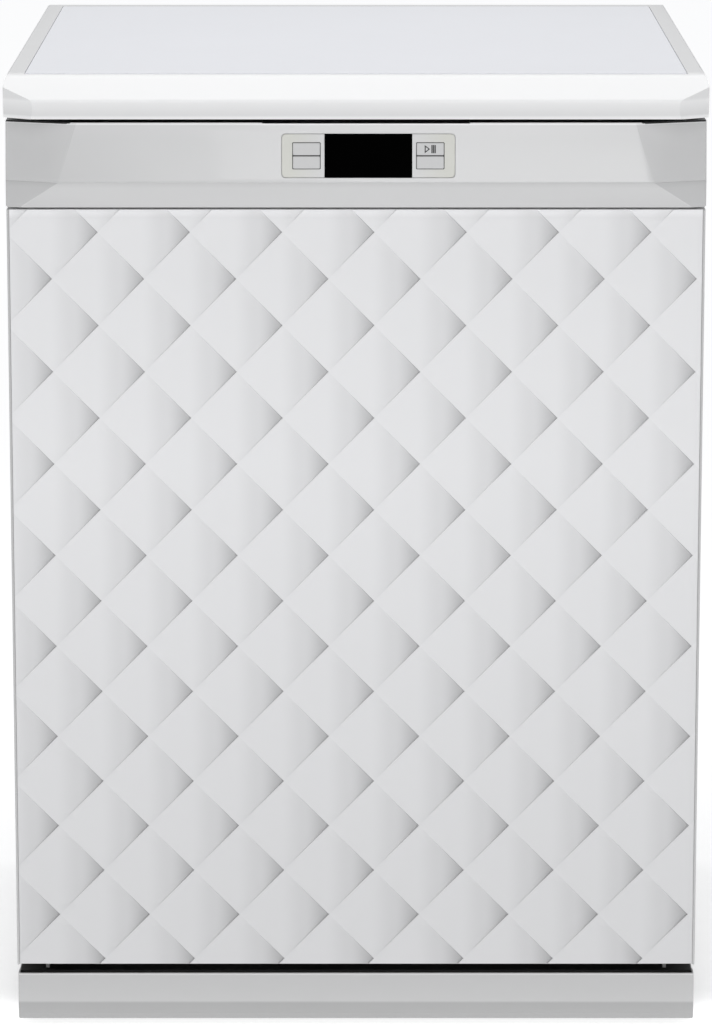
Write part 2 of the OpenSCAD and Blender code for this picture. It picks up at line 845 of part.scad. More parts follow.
module control_fascia() {
  grip_front = fascia_top_y + 16;
  grip_back = grip_front + 23;
  grip_deep = fascia_top - 21;
  wall = 2;
  side = grip_w / 2 + wall;
  color("gainsboro") difference() {
    union() {
      difference() {
        fascia_form(0, fascia_back_y);
        fascia_form(fascia_wall, fascia_back_y + 1);
      }
      box([grip_x - side, grip_front - wall, grip_deep - wall],
        [grip_x + side, grip_back + wall, fascia_top - 1]);
      box([grip_x - side, fascia_top_y + wall, fascia_top - 5], [grip_x + side, grip_front, fascia_top - 1]);
      both_sides() box([half_w - fascia_wall, crease_y + facet_back + 4, fascia_bottom],
        [half_w, fascia_back_y, fascia_top]);
    }
    box([grip_x - grip_w / 2, grip_front, grip_deep], [grip_x + grip_w / 2, grip_back, fascia_top + 1]);
    box([grip_x - grip_w / 2, crease_y - 1, fascia_top - grip_drop],
      [grip_x + grip_w / 2, grip_front + 1, fascia_top + 1]);
    on_fascia() {
      plaque(plate_w + 2 * ease, plate_h + 2 * ease, 3.6, -2, plate_t + ease);
      plaque(plate_w - 8, plate_h - 8, 2, -2, 9);
    }
  }
}

module button_place(sx, sz) {
  on_fascia() translate([sx * button_x, 0, sz * (button_h + gap) / 2]) children();
}

module control_plate() {
  color("ivory") difference() {
    on_fascia() plaque(plate_w, plate_h, 3.4, 0.2, plate_t);
    on_fascia() box([-display_w / 2 - 0.1, -1, -plate_h], [display_w / 2 + 0.1, 1.2, plate_h]);
    for (sx = [-1, 1]) {
      on_fascia() translate([sx * button_x, 0, 0])
        box([-button_w / 2 - ease, -1, -button_h - gap / 2 - ease],
          [button_w / 2 + ease, 5, button_h + gap / 2 + ease]);
    }
  }
}

module display_window() {
  color("black") on_fascia() box([-display_w / 2, 0.1, -plate_h / 2], [display_w / 2, 1.2, plate_h / 2]);
}

module button_cap(sx, sz) {
  color("silver") button_place(sx, sz) {
    box([-button_w / 2, -0.5, -button_h / 2], [button_w / 2, 5, button_h / 2]);
    box([-4, 5, -3], [4, board_y - button_travel - 1.2, 3]);
  }
}

module button_left_top() {
  button_cap(-1, 1);
}
module button_left_bottom() {
  button_cap(-1, -1);
}
module button_right_top() {
  button_cap(1, 1);
}
module button_right_bottom() {
  button_cap(1, -1);
}

module control_board() {
  color("green") {
    on_fascia() box([-plate_w / 2 + 2, board_y, -15], [plate_w / 2 - 2, board_y + 1.6, 14]);
    for (sx = [-1, 1]) {
      for (sz = [-1, 1]) {
        button_place(sx, sz) box([-3, board_y - 0.8, -2.5], [3, board_y, 2.5]);
      }
    }
    on_fascia() box([-30, 3, -13], [30, board_y, 13]);
  }
}

module door_latch() {
  z = tub_top + 17;
  top = fascia_top - fascia_wall - 1;
  color("white") difference() {
    box([grip_x - 26, liner_y - 22, z - 14], [grip_x + 26, liner_y - sheet, top]);
    box([grip_x - 16, liner_y - 14, z - 3], [grip_x + 16, liner_y, z + 7]);
  }
}

module dispenser_body() {
  x0 = rinse_x - 35;
  x1 = cup_x + 55;
  y0 = liner_y - 32;
  y1 = liner_y + 2;
  color("gainsboro") difference() {
    box([x0, y0, cup_z - 52], [x1, y1, cup_z + 52]);
    box([cup_x - 32, y0 + 4, cup_z - 42], [cup_x + 34, y1 + 1, cup_z + 4]);
    y_bar(rinse_r - 5, y0 + 4, y1 + 1, rinse_x, cup_z);
    box([cup_x - 30, y0 + 14, cup_z + 10], [cup_x + 30, y1 - 3, cup_z + 46]);
  }
}

module detergent_lid() {
  color("lightgray") {
    box([cup_x - 38, liner_y + 2.3, cup_z - 48], [cup_x + 38, liner_y + 5, cup_z + 8]);
    box([cup_x - 14, liner_y + 5, cup_z - 2], [cup_x + 14, liner_y + 8, cup_z + 4]);
  }
}

module rinse_cap() {
  color("steelblue") {
    y_bar(rinse_r, liner_y + 2.3, liner_y + 6, rinse_x, cup_z);
    y_bar(rinse_r - 5 - ease, liner_y - 8, liner_y + 2.3, rinse_x, cup_z);
    box([rinse_x - 15, liner_y + 6, cup_z - 2.5], [rinse_x + 15, liner_y + 9, cup_z + 2.5]);
  }
}

// ---- Baskets ---------------------------------------------------------------------------------

// Floor and four walls of a basket, each a separate welded grid
module basket(half, y0, y1, z, h, pitch) {
  w = 2 * half;
  wall_z = z + wire + gap;
  translate([-half, y0, z]) grid(w, y1 - y0, pitch);
  for (y = [y0 + wire, y1]) {
    translate([-half + wire + gap, y, wall_z]) rotate([90, 0, 0]) grid(w - 2 * wire - 2 * gap, h, pitch);
  }
  for (x = [-half, half - wire]) {
    translate([x, y0, wall_z]) rotate([90, 0, 90]) grid(y1 - y0, h, pitch);
  }
}

// A row of plate tines on a bar along Y, standing at x; the bar runs past the row at both ends
module tines(x, z, past) {
  y_bar(tine_bar_r, tine_row[0] - past, tine_row[1] + past, x, z);
  for (y = [tine_row[0] + 6:tine_pitch:tine_row[1] - 6]) {
    translate([x, y, z]) cylinder(r = tine_r, h = tine_h);
  }
}

module lower_rack() {
  clip = 4;
  color("gray") {
    basket(lower_half, rack_front, rack_back, lower_z, basket_h, pitch);
    for (x = [-lower_half + 52, -lower_half + 138]) {
      tines(x, lower_z + wire + gap + tine_bar_r, 0);
    }
    both_sides() {
      for (y = [front_wheel_y, rear_wheel_y]) {
        box([wheel_x - 2 * clip, y - 13, wheel_z - 8], [wheel_x - clip, y + 13, lower_z - gap]);
        x_bar(axle_r, wheel_x - clip, wheel_x + wheel_w, y, wheel_z);
      }
    }
    for (y = [tine_row[0] - 8 - gap, tine_row[1] + gap]) {
      difference() {
        box([tine_x - 7, y, lower_z + wire + gap], [tine_x + 7, y + 8, tine_axis_z + 7]);
        y_bar(tine_bar_r + fit, y - 1, y + 9, tine_x, tine_axis_z);
      }
    }
  }
}

module folding_tines() {
  color("silver") tines(tine_x, tine_axis_z, 8);
}

module wheel_pair(y) {
  color("whitesmoke") both_sides() difference() {
    x_bar(wheel_r, wheel_x, wheel_x + wheel_w, y, wheel_z);
    x_bar(axle_r + fit, wheel_x - 1, wheel_x + wheel_w + 1, y, wheel_z);
    x_bar(wheel_r - 4, wheel_x + wheel_w - 3, wheel_x + wheel_w + 1, y, wheel_z);
  }
}

module lower_wheels_front() {
  wheel_pair(front_wheel_y);
}
module lower_wheels_rear() {
  wheel_pair(rear_wheel_y);
}

module cutlery_basket() {
  z0 = lower_z + wire + 1;
  h = 110;
  t = 2;
  cells = 4;
  cell = (basket_len - t) / cells - t;
  color("gray") {
    difference() {
      box([basket_x, basket_y, z0], [basket_x + basket_w, basket_y + basket_len, z0 + h]);
      for (i = [0:cells - 1]) {
        for (j = [0, 1]) {
          translate([basket_x + t + j * (basket_w / 2 - t / 2), basket_y + t + i * (cell + t), z0 + t])
            cube([basket_w / 2 - 1.5 * t, cell, h]);
        }
      }
      for (z = [20:24:92]) {
        for (i = [0:cells - 1]) {
          translate([basket_x - 1, basket_y + t + i * (cell + t) + 5, z0 + z])
            cube([basket_w + 2, cell - 10, 12]);
        }
      }
    }
    translate([basket_x + basket_w / 2 - 2, basket_y + basket_len / 2 - 45, z0 + h - 30]) difference() {
      cube([4, 90, 66]);
      translate([-1, 8, 34]) cube([6, 74, 24]);
    }
  }
}

module upper_rack() {
  color("gray") {
    basket(upper_half, rack_front, rack_back - 12, upper_z, basket_h, pitch);
    tines(upper_half - 120, upper_z + wire + gap + tine_bar_r, 0);
    both_sides() {
      for (y = [rack_front + 40, rack_back - 70]) {
        box([upper_half + gap, y, slide_z - 6], [slide_x - gap, y + 26, slide_z + 6]);
      }
    }
    for (y = [shelf_y - 8 - gap, shelf_y + shelf_l + gap]) {
      difference() {
        box([-upper_half + wire + gap, y, shelf_z - 6], [shelf_x + 5, y + 8, shelf_z + 6]);
        y_bar(tine_bar_r + fit, y - 1, y + 9, shelf_x, shelf_z);
      }
    }
  }
}

module cup_shelf() {
  color("silver") {
    y_bar(tine_bar_r, shelf_y - 8, shelf_y + shelf_l + 8, shelf_x, shelf_z);
    translate([shelf_x, shelf_y, shelf_z - wire / 2]) grid(shelf_w, shelf_l, 30);
  }
}

module upper_slides() {
  color("silver") both_sides()
    box([slide_x, rack_front - 3, slide_z - rail_h / 2 + 3 + gap],
      [tub_half - 2 - gap, rack_back - 4, slide_z + rail_h / 2 - 3 - gap]);
}

module upper_feed_pipe() {
  z = upper_z - 9;
  color("lightgray") {
    y_bar(7, hub_y, rack_back + 4, 0, z);
    translate([0, hub_y, z - 26]) cylinder(r = 8, h = 26);
    translate([0, hub_y, z - 8]) cylinder(r = 14, h = 16);
  }
}

// A hollow two-armed paddle that turns on a hub
module spray_arm(z, bore) {
  tip = 11;
  root = 24;
  end = arm_reach - tip;
  color("lightgray") translate([0, hub_y, z]) difference() {
    linear_extrude(12) union() {
      circle(r = 30);
      polygon([[-end, -tip], [0, -root], [end, -tip], [end, tip], [0, root], [-end, tip]]);
      translate([-end, 0]) circle(r = tip);
      translate([end, 0]) circle(r = tip);
    }
    translate([0, 0, -1]) cylinder(r = bore + fit, h = 14);
    for (s = [-1, 1]) {
      for (i = [0:5]) {
        translate([s * (56 + 26 * i), (i % 2) * 8 - 4, 9]) cylinder(r = 2, h = 4);
      }
    }
  }
}

module upper_spray_arm() {
  spray_arm(upper_z - 33, 8);
}
module lower_spray_arm() {
  spray_arm(tub_floor + 20, 8);
}

base_tray();
side_panel_left();
side_panel_right();
back_panel();
tub();
tub_gasket();
lower_seal();
lid_frame();
lid_board();
plinth();
top_rail();
door_strike();
hinge_brackets();
door_springs();
rack_rails();
sump();
circulation_pump();
drain_pump();
flow_heater();
inlet_valve();
water_chamber();
riser_tube();
softener();
mains_inlet();
power_module();
hoses();
foot_front_left();
foot_front_right();
foot_rear_left();
foot_rear_right();
door_outer_panel();
door_decor_panel();
door_inner_liner();
control_fascia();
control_plate();
display_window();
control_board();
door_latch();
dispenser_body();
hinge_arms();
door_insulation();
button_left_top();
button_left_bottom();
button_right_top();
button_right_bottom();
detergent_lid();
rinse_cap();
lower_rack();
folding_tines();
cutlery_basket();
lower_wheels_front();
lower_wheels_rear();
upper_rack();
cup_shelf();
upper_slides();
upper_feed_pipe();
upper_spray_arm();
lower_spray_arm();
filter();
salt_cap();
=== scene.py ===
"""The looks of the dishwasher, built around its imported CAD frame. Lengths are in metres."""

import json
import math

import bmesh
import bpy
from mathutils import Matrix, Vector


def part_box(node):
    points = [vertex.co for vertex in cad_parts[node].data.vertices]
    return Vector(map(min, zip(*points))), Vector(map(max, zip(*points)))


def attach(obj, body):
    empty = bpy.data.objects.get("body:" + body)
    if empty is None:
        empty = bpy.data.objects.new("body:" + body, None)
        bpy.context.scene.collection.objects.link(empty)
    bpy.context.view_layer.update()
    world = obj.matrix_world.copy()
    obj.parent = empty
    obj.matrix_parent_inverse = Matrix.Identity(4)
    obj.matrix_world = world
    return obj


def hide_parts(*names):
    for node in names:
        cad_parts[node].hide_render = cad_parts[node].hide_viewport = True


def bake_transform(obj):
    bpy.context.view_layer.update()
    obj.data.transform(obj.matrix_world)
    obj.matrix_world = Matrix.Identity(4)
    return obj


MM = 0.001
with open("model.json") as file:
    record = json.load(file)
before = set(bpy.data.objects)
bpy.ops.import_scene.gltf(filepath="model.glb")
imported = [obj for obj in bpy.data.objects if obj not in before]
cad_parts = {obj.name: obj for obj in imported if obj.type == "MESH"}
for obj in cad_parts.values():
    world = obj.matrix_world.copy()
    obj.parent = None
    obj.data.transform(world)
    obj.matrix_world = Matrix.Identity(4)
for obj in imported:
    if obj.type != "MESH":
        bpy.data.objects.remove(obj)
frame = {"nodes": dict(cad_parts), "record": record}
RECORD = frame["record"]
NODES = frame["nodes"]
BODY_OF = {n: b for b, ns in RECORD["behaviour"]["bodies"].items() for n in ns}
SLOT_OF = {s["node"]: s["material_slot"] for s in RECORD["subparts"]}
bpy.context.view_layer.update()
SCENE = bpy.context.scene

# ---- Camera, light and stage -----------------------------

CAMERA_PLACE = (0, -4.4, 1.3286)
CAMERA_TILT = 78.23
CAMERA_LENS = 171.03
SENSOR = 36
FAR = 50  # where the camera's view ends

# Each area light: name, place, target, size and power
LIGHTS = (
    ("key", (-0.3, -3.3, 3.0), (0, 0, 0.45), (2.4, 2.6), 33),
    ("fill", (0.5, -4.6, 0.9), (0, 0, 0.4), (2.4, 1.0), 23),
    ("top", (0, 0.1, 2.8), (0, 0, 0.8), (1.8, 1.8), 27),
)
SKY_COLOUR = (0.97, 0.98, 1.0, 1)
SKY_STRENGTH = 0.42

FLOOR_CORNERS = ((-9, -6, 0), (9, -6, 0), (9, 12, 0), (-9, 12, 0))
WHITE = (1, 1, 1, 1)
FLOOR_WHITE = (0.93, 0.93, 0.93, 1)

# The floor glows faintly, so that it looks white. Each stop is a place along Y and a strength.
FLOOR_REACH = (-1.5, 5.0)
FLOOR_GLOW = (
    (-1.2, 0.12),
    (-0.34, 0.34),
    # Painted light: the two stops at 0.82 make a bright band round the plinth's front edge,
    # which takes out the plinth's shadow on the floor.
    (-0.28, 0.82),
    (-0.23, 0.82),
    (-0.17, 0.35),
    (4.5, 0.58),
)


def stand(name, data):
    """A new object in the scene."""
    obj = bpy.data.objects.new(name, data)
    SCENE.collection.objects.link(obj)
    return obj


def make_camera():
    data = bpy.data.cameras.new("camera")
    data.lens = CAMERA_LENS
    data.sensor_width = SENSOR
    data.clip_end = FAR
    cam = stand("camera", data)
    cam.location = CAMERA_PLACE
    cam.rotation_euler = (math.radians(CAMERA_TILT), 0, 0)
    SCENE.camera = cam


def area_light(name, place, target, size, power):
    data = bpy.data.lights.new(name, "AREA")
    data.shape = "RECTANGLE"
    data.size, data.size_y = size
    data.energy = power
    lamp = stand(name, data)
    lamp.location = place
    lamp.rotation_euler = (Vector(target) - Vector(place)).to_track_quat("-Z", "Y").to_euler()


def make_light():
    world = bpy.data.worlds.new("studio")
    world.use_nodes = True
    background = world.node_tree.nodes["Background"]
    background.inputs["Color"].default_value = SKY_COLOUR
    background.inputs["Strength"].default_value = SKY_STRENGTH
    SCENE.world = world
    for light in LIGHTS:
        area_light(*light)


def make_stage():
    mesh = bpy.data.meshes.new("floor")
    mesh.from_pydata(FLOOR_CORNERS, [], [(0, 1, 2, 3)])
    floor = stand("floor", mesh)
    s = Surface("floor_paint", FLOOR_WHITE, 0.9)
    start, end = FLOOR_REACH
    stops = [((y - start) / (end - start), neutral(glow)) for y, glow in FLOOR_GLOW]
    glow = s.ramp(s.remap(s.axis("Y"), start, end), stops)
    s.shader.inputs["Emission Color"].default_value = WHITE
    s.link(glow, s.shader.inputs["Emission Strength"])
    mesh.materials.append(s.mat)


# ---- Materials -------------------------------------------


def linear(grey):
    """sRGB values from 0 to 255 as linear ones."""
    values = grey if isinstance(grey, (tuple, list)) else (grey,) * 3
    out = []
    for v in values:
        c = v / 255
        out.append(c / 12.92 if c <= 0.04045 else ((c + 0.055) / 1.055) ** 2.4)
    return (*out, 1)


def neutral(level):
    return (level, level, level, 1)


MATERIALS = {}


class Surface:
    """A material made of nodes: a shader, and short ways to add noise, ramps and bumps."""

    def __init__(self, name, colour, rough, metal=0.0, coat=0.0, specular=0.5):
        self.mat = MATERIALS[name] = bpy.data.materials.new(name)
        self.mat.use_nodes = True
        self.tree = self.mat.node_tree
        self.shader = self.tree.nodes["Principled BSDF"]
        for socket, v in (
            ("Base Color", colour),
            ("Roughness", rough),
            ("Metallic", metal),
            ("Coat Weight", coat),
            ("Coat Roughness", 0.08),
            ("Specular IOR Level", specular),
        ):
            self.shader.inputs[socket].default_value = v
        coordinates = self.add("ShaderNodeTexCoord")
        self.place = coordinates.outputs["Object"]
        self.facing = coordinates.outputs["Normal"]

    def add(self, kind, **settings):
        node = self.tree.nodes.new(kind)
        for key, value in settings.items():
            setattr(node, key, value)
        return node

    def link(self, a, b):
        self.tree.links.new(a, b)

    def feed(self, socket, v):
        """Sets a socket to a constant, or links it to another node's output."""
        if isinstance(v, bpy.types.NodeSocket):
            self.link(v, socket)
        else:
            socket.default_value = v

    def value(self, operation, a, b=0.0, c=0.5):
        node = self.add("ShaderNodeMath", operation=operation)
        for socket, v in zip(node.inputs, (a, b, c)):
            self.feed(socket, v)
        return node.outputs[0]

    def noise(self, scale, detail=3.0, stretch=(1, 1, 1)):
        mapping = self.add("ShaderNodeMapping")
        self.feed(mapping.inputs["Scale"], stretch)
        self.feed(mapping.inputs["Vector"], self.place)
        node = self.add("ShaderNodeTexNoise")
        self.feed(node.inputs["Scale"], scale)
        self.feed(node.inputs["Detail"], detail)
        self.feed(node.inputs["Vector"], mapping.outputs["Vector"])
        return node.outputs["Fac"]

    def axis(self, name, source=None):
        """One coordinate of the place on the piece, or of another vector."""
        node = self.add("ShaderNodeSeparateXYZ")
        self.link(source or self.place, node.inputs[0])
        return node.outputs[name]

    def remap(self, value, low, high, to_low=0.0, to_high=1.0):
        """A value between low and high as one between to_low and to_high."""
        node = self.add("ShaderNodeMapRange")
        for socket, v in zip(node.inputs, (value, low, high, to_low, to_high)):
            self.feed(socket, v)
        return node.outputs["Result"]

    def away(self, coordinate, middle):
        """How far a coordinate is from middle, on either side."""
        return self.value("ABSOLUTE", self.value("SUBTRACT", coordinate, middle))

    def rise(self, coordinate, start, span):
        """How far a coordinate is past start, in spans."""
        return self.value("DIVIDE", self.value("SUBTRACT", coordinate, start), span)

    def spread(self, factor, low, high):
        return self.remap(factor, 0.0, 1.0, low, high)

    def ramp(self, factor, stops, interpolation="LINEAR"):
        """A colour from stops, each a position and a colour."""
        node = self.add("ShaderNodeValToRGB")
        node.color_ramp.interpolation = interpolation
        elements = node.color_ramp.elements
        for i, (at, colour) in enumerate(stops):
            stop = elements[i] if i < 2 else elements.new(at)
            stop.position = at
            stop.color = colour
        self.link(factor, node.inputs["Fac"])
        return node.outputs["Color"]

    def mix(self, a, b, factor, mode="MIX"):
        """Colour a turned into b, or multiplied by it, by factor."""
        node = self.add("ShaderNodeMix", data_type="RGBA", blend_type=mode)
        for name, v in (("A", a), ("B", b), ("Factor", factor)):
            self.feed(node.inputs[name], v)
        return node.outputs["Result"]

    def colour(self, result):
        self.link(result, self.shader.inputs["Base Color"])

    def tint(self, factor, a, b):
        """Base colour between a and b by factor."""
        self.colour(self.mix(a, b, factor))

    def bump(self, height, strength, distance):
        node = self.add("ShaderNodeBump")
        self.feed(node.inputs["Strength"], strength)
        self.feed(node.inputs["Distance"], distance)
        self.feed(node.inputs["Height"], height)
        self.link(node.outputs["Normal"], self.shader.inputs["Normal"])

    def rough(self, factor, low, high):
        self.link(self.spread(factor, low, high), self.shader.inputs["Roughness"])


def shade(colour, k):
    return (colour[0] * k, colour[1] * k, colour[2] * k, 1)


def moulded(name, colour, rough=0.4, coat=0.0, grain=900, depth=0.02, drift=0.03):
    """Moulded plastic: fine grain, slow colour drift and uneven gloss."""
    s = Surface(name, colour, rough, coat=coat)
    s.tint(s.noise(6, 4), shade(colour, 1 - drift), shade(colour, 1 + drift))
    s.rough(s.noise(40, 3), rough * 0.85, rough * 1.15)
    s.bump(s.noise(grain, 2), depth, 0.0004)


def painted(name, colour, rough=0.35, coat=0.15):
    """Powder-coated sheet: orange peel under a thin gloss."""
    s = Surface(name, colour, rough, coat=coat)
    s.tint(s.noise(3, 5), shade(colour, 0.98), shade(colour, 1.02))
    s.rough(s.noise(25, 2), rough * 0.9, rough * 1.12)
    s.bump(s.noise(420, 2), 0.05, 0.0003)


def steel(name, colour, rough=0.3, stretch=(2, 2, 90), drift=0.06):
    """Brushed or rolled steel: streaks along one direction, in colour, gloss and bump."""
    s = Surface(name, colour, rough, metal=1.0)
    streak = s.noise(14, 5, stretch)
    s.tint(streak, shade(colour, 1 - drift), shade(colour, 1 + drift))
    s.rough(streak, rough * 0.75, rough * 1.3)
    s.bump(streak, 0.05, 0.0002)


def rubber(name, colour, rough=0.65):
    """Rubber: matte, with a dusty bloom."""
    s = Surface(name, colour, rough, specular=0.3)
    s.tint(s.noise(30, 5), shade(colour, 0.8), shade(colour, 1.35))
    s.bump(s.noise(700, 3), 0.08, 0.0003)


def zinc(name, colour, rough=0.42):
    """Zinc-coated sheet with its crystal spangle."""
    s = Surface(name, colour, rough, metal=1.0)
    cells = s.add("ShaderNodeTexVoronoi")
    cells.inputs["Scale"].default_value = 90
    s.link(s.place, cells.inputs["Vector"])
    flake = s.add("ShaderNodeSeparateColor")
    s.link(cells.outputs["Color"], flake.inputs[0])
    s.tint(flake.outputs[0], shade(colour, 0.86), shade(colour, 1.1))
    s.rough(flake.outputs[1], rough * 0.8, rough * 1.2)


def felted(name, colour):
    """Needled felt: matted fibres."""
    s = Surface(name, colour, 0.95, specular=0.1)
    fibre = s.noise(260, 8, (1, 1, 2.5))
    s.tint(fibre, shade(colour, 0.6), shade(colour, 1.4))
    s.bump(fibre, 0.6, 0.001)


def circuit(name, colour):
    """Solder-masked board with lighter tracks."""
    s = Surface(name, colour, 0.35, coat=0.3)
    brick = s.add("ShaderNodeTexBrick")
    brick.inputs["Scale"].default_value = 110
    brick.inputs["Color1"].default_value = shade(colour, 0.8)
    brick.inputs["Color2"].default_value = shade(colour, 1.1)
    brick.inputs["Mortar"].default_value = shade(colour, 2.2)
    brick.inputs["Mortar Size"].default_value = 0.012
    s.link(s.place, brick.inputs["Vector"])
    s.colour(brick.outputs["Color"])


def plinth_paint_and_shade(name, colour):
    """The plinth's paint, with painted shade under the crease and a painted highlight along the
    top edge.
    """
    s = Surface(name, colour, 0.35, coat=0.15)
    height = s.axis("Z")
    # Painted shade: under the crease the colour falls to 0.7, mixed with a slow random drift.
    band = s.remap(height, 23 * MM, 25.5 * MM)
    drift = s.value("MULTIPLY_ADD", s.noise(5, 4), 0.3, band)
    base = s.mix(shade(colour, 0.7), shade(colour, 1.01), drift)
    # Painted highlight: a brighter band along the plinth's top edge.
    top = s.value("GREATER_THAN", height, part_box("plinth")[1].z - 1.4 * MM)
    s.colour(s.mix(base, shade(colour, 1.3), top))
    s.bump(s.noise(420, 2), 0.05, 0.0003)


def plate_paint(name, pale, cream, middle, near, far):
    """The control plate: pale beside the display and warmer towards its ends."""
    s = Surface(name, pale, 0.4)
    s.tint(s.remap(s.away(s.axis("X"), middle), near, far), pale, cream)
    s.rough(s.noise(60, 3), 0.34, 0.46)
    s.bump(s.noise(900, 2), 0.03, 0.0004)


def laminate(name, colour):
    """White laminate: a satin sheet with a faint mottle, cooler than the moulding round it."""
    s = Surface(name, colour, 0.42, coat=0.1)
    s.tint(s.noise(9, 5), shade(colour, 0.985), shade(colour, 1.01))
    s.rough(s.noise(60, 2), 0.36, 0.48)
    s.bump(s.noise(1300, 2), 0.04, 0.0002)


laminate("lid_laminate", linear((238, 239, 243)))
painted("body_paint", linear(198))
plinth_paint_and_shade("plinth_paint_and_shade", linear(190))
moulded("key_ink", linear(48), 0.5, drift=0.05)
zinc("galvanised", linear(186))
steel("tub_steel", linear((222, 223, 225)), 0.32)
rubber("seal_rubber", linear(46))
rubber("hose_rubber", linear(30), 0.5)
moulded("base_plastic", linear(34), 0.55, depth=0.1, drift=0.15)
moulded("foot_plastic", linear(44), 0.6, depth=0.1, drift=0.15)
steel("spring_steel", linear(150), 0.35, (1, 1, 1))
steel("rail_steel", linear(200), 0.25, (60, 2, 60))
moulded("spray_plastic", linear((176, 178, 181)), 0.42, depth=0.06)
moulded("pump_plastic", linear(48), 0.5, depth=0.12, drift=0.15)
steel("heater_steel", linear(180), 0.3, (60, 2, 60))
moulded("white_plastic", linear((226, 226, 222)), 0.4, depth=0.05)
moulded("cap_blue", linear((52, 96, 160)), 0.3, coat=0.3, drift=0.06)
moulded("socket_black", linear(22), 0.45, depth=0.1, drift=0.1)
circuit("circuit_green", linear((26, 92, 52)))
moulded("button_grey", linear(205), 0.38, depth=0.06, drift=0.02)
Surface("display_black", linear(1), 0.5, specular=0.005)
moulded("dispenser_plastic", linear((196, 198, 200)), 0.4, depth=0.06)
felted("felt", linear((150, 132, 104)))
moulded("rack_coating", linear((182, 186, 192)), 0.36, coat=0.2, grain=500)
moulded("wheel_plastic", linear((214, 215, 217)), 0.4)
moulded("basket_plastic", linear((150, 153, 158)), 0.45, depth=0.08)

# ---- Mesh helpers ----------------------------------------


def mark_sharp(bm, sharp):
    """Makes faces smooth, and keeps the edges above an angle sharp."""
    limit = math.radians(sharp)
    for edge in bm.edges:
        edge.smooth = len(edge.link_faces) == 2 and edge.calc_face_angle(0) < limit
    for face in bm.faces:
        face.smooth = True


def finish_mesh(bm, name, sharp=35):
    """Turns bm into an object with smooth faces, and edges kept sharp above an angle."""
    bmesh.ops.recalc_face_normals(bm, faces=bm.faces)
    mark_sharp(bm, sharp)
    mesh = bpy.data.meshes.new(name)
    bm.to_mesh(mesh)
    bm.free()
    return stand(name, mesh)


def prism(outline, place, lo, hi):
    """A closed bmesh: an outline drawn out from lo to hi. place(u, v, w) gives the point."""
    bm = bmesh.new()
    first = [bm.verts.new(place(u, v, lo)) for u, v in outline]
    last = [bm.verts.new(place(u, v, hi)) for u, v in outline]
    n = len(outline)
    bm.faces.new(first)
    bm.faces.new(reversed(last))
    for i in range(n):
        j = (i + 1) % n
        bm.faces.new((first[i], last[i], last[j], first[j]))
    bmesh.ops.recalc_face_normals(bm, faces=bm.faces)
    return bm


def along_x(y, z, x):
    return (x, y, z)


def along_y(x, z, y):
    return (x, y, z)


def along_z(x, y, z):
    return (x, y, z)


def trim(bm, point, normal):
    """Cuts off what lies on the side that normal points to."""
    geometry = bm.verts[:] + bm.edges[:] + bm.faces[:]
    bmesh.ops.bisect_plane(bm, geom=geometry, plane_co=point, plane_no=normal, clear_outer=True)


def cut_plane(bm, point, normal):
    """Cuts off a side, and closes the cut."""
    trim(bm, point, normal)
    rim = [e for e in bm.edges if e.is_boundary]
    if rim:
        bmesh.ops.contextual_create(bm, geom=rim)


def facet_plane(p, q, r):
    """A point and normal for the plane through three points, facing the front."""
    normal = (q - p).cross(r - p).normalized()
    return p, normal if normal.y < 0 else -normal


def soften(bm, width, angle, segments=3):
    """Rounds the edges that are sharper than an angle."""
    limit = math.radians(angle)
    edges = [e for e in bm.edges if len(e.link_faces) == 2 and e.calc_face_angle(0) > limit]
    bmesh.ops.bevel(
        bm, geom=edges, offset=width, segments=segments, affect="EDGES", clamp_overlap=True
    )


def rounded_box(lo, hi, radius, segments=3):
    bm = bmesh.new()
    bmesh.ops.create_cube(bm, size=1)
    size = Vector(hi) - Vector(lo)
    middle = (Vector(hi) + Vector(lo)) / 2
    bmesh.ops.scale(bm, vec=size, verts=bm.verts)
    bmesh.ops.translate(bm, vec=middle, verts=bm.verts)
    if radius:
        bmesh.ops.bevel(bm, geom=bm.edges[:], offset=radius, segments=segments, affect="EDGES")
    return bm


def block(lo, hi, edge, name="block", segments=3):
    return finish_mesh(rounded_box(lo, hi, edge, segments), name)


def bow(centre, radii, a0, a1, n):
    """Points along an ellipse from angle a0 to a1, in degrees."""
    points = []
    for i in range(n + 1):
        a = math.radians(a0 + (a1 - a0) * i / n)
        points.append((centre[0] + radii[0] * math.cos(a), centre[1] + radii[1] * math.sin(a)))
    return points


def round_corner(a, p, b, radius, n):
    """Points of a curve that rounds the corner p between its neighbours a and b."""
    start = p + (a - p).normalized() * radius
    end = p + (b - p).normalized() * radius
    steps = [k / n for k in range(n + 1)]
    return [start * (1 - t) ** 2 + p * 2 * t * (1 - t) + end * t * t for t in steps]


def round_outline(corners, radii, n=6):
    """A flat outline whose corners are rounded by the given radii."""
    outline = []
    for i, (place, radius) in enumerate(zip(corners, radii)):
        if not radius:
            outline.append(place)
            continue
        a, b = Vector(corners[i - 1]), Vector(corners[(i + 1) % len(corners)])
        outline += [tuple(q) for q in round_corner(a, Vector(place), b, radius, n)]
    return outline


def evaluated_mesh(obj):
    """A new mesh of an object as its curve or modifiers make it."""
    depsgraph = bpy.context.evaluated_depsgraph_get()
    return bpy.data.meshes.new_from_object(obj.evaluated_get(depsgraph))


def boolean(obj, cutter, operation="DIFFERENCE"):
    """Cuts away or adds another object, which is used up."""
    modifier = obj.modifiers.new("cut", "BOOLEAN")
    modifier.operation = operation
    modifier.solver = "MANIFOLD"
    modifier.object = cutter
    mesh = evaluated_mesh(obj)
    obj.modifiers.clear()
    obj.data = mesh
    bpy.data.objects.remove(cutter)
    return obj


def smooth_by_angle(obj, sharp=35):
    """Marks the edges of a finished mesh again, after a boolean."""
    bm = bmesh.new()
    bm.from_mesh(obj.data)
    mark_sharp(bm, sharp)
    bm.to_mesh(obj.data)
    bm.free()


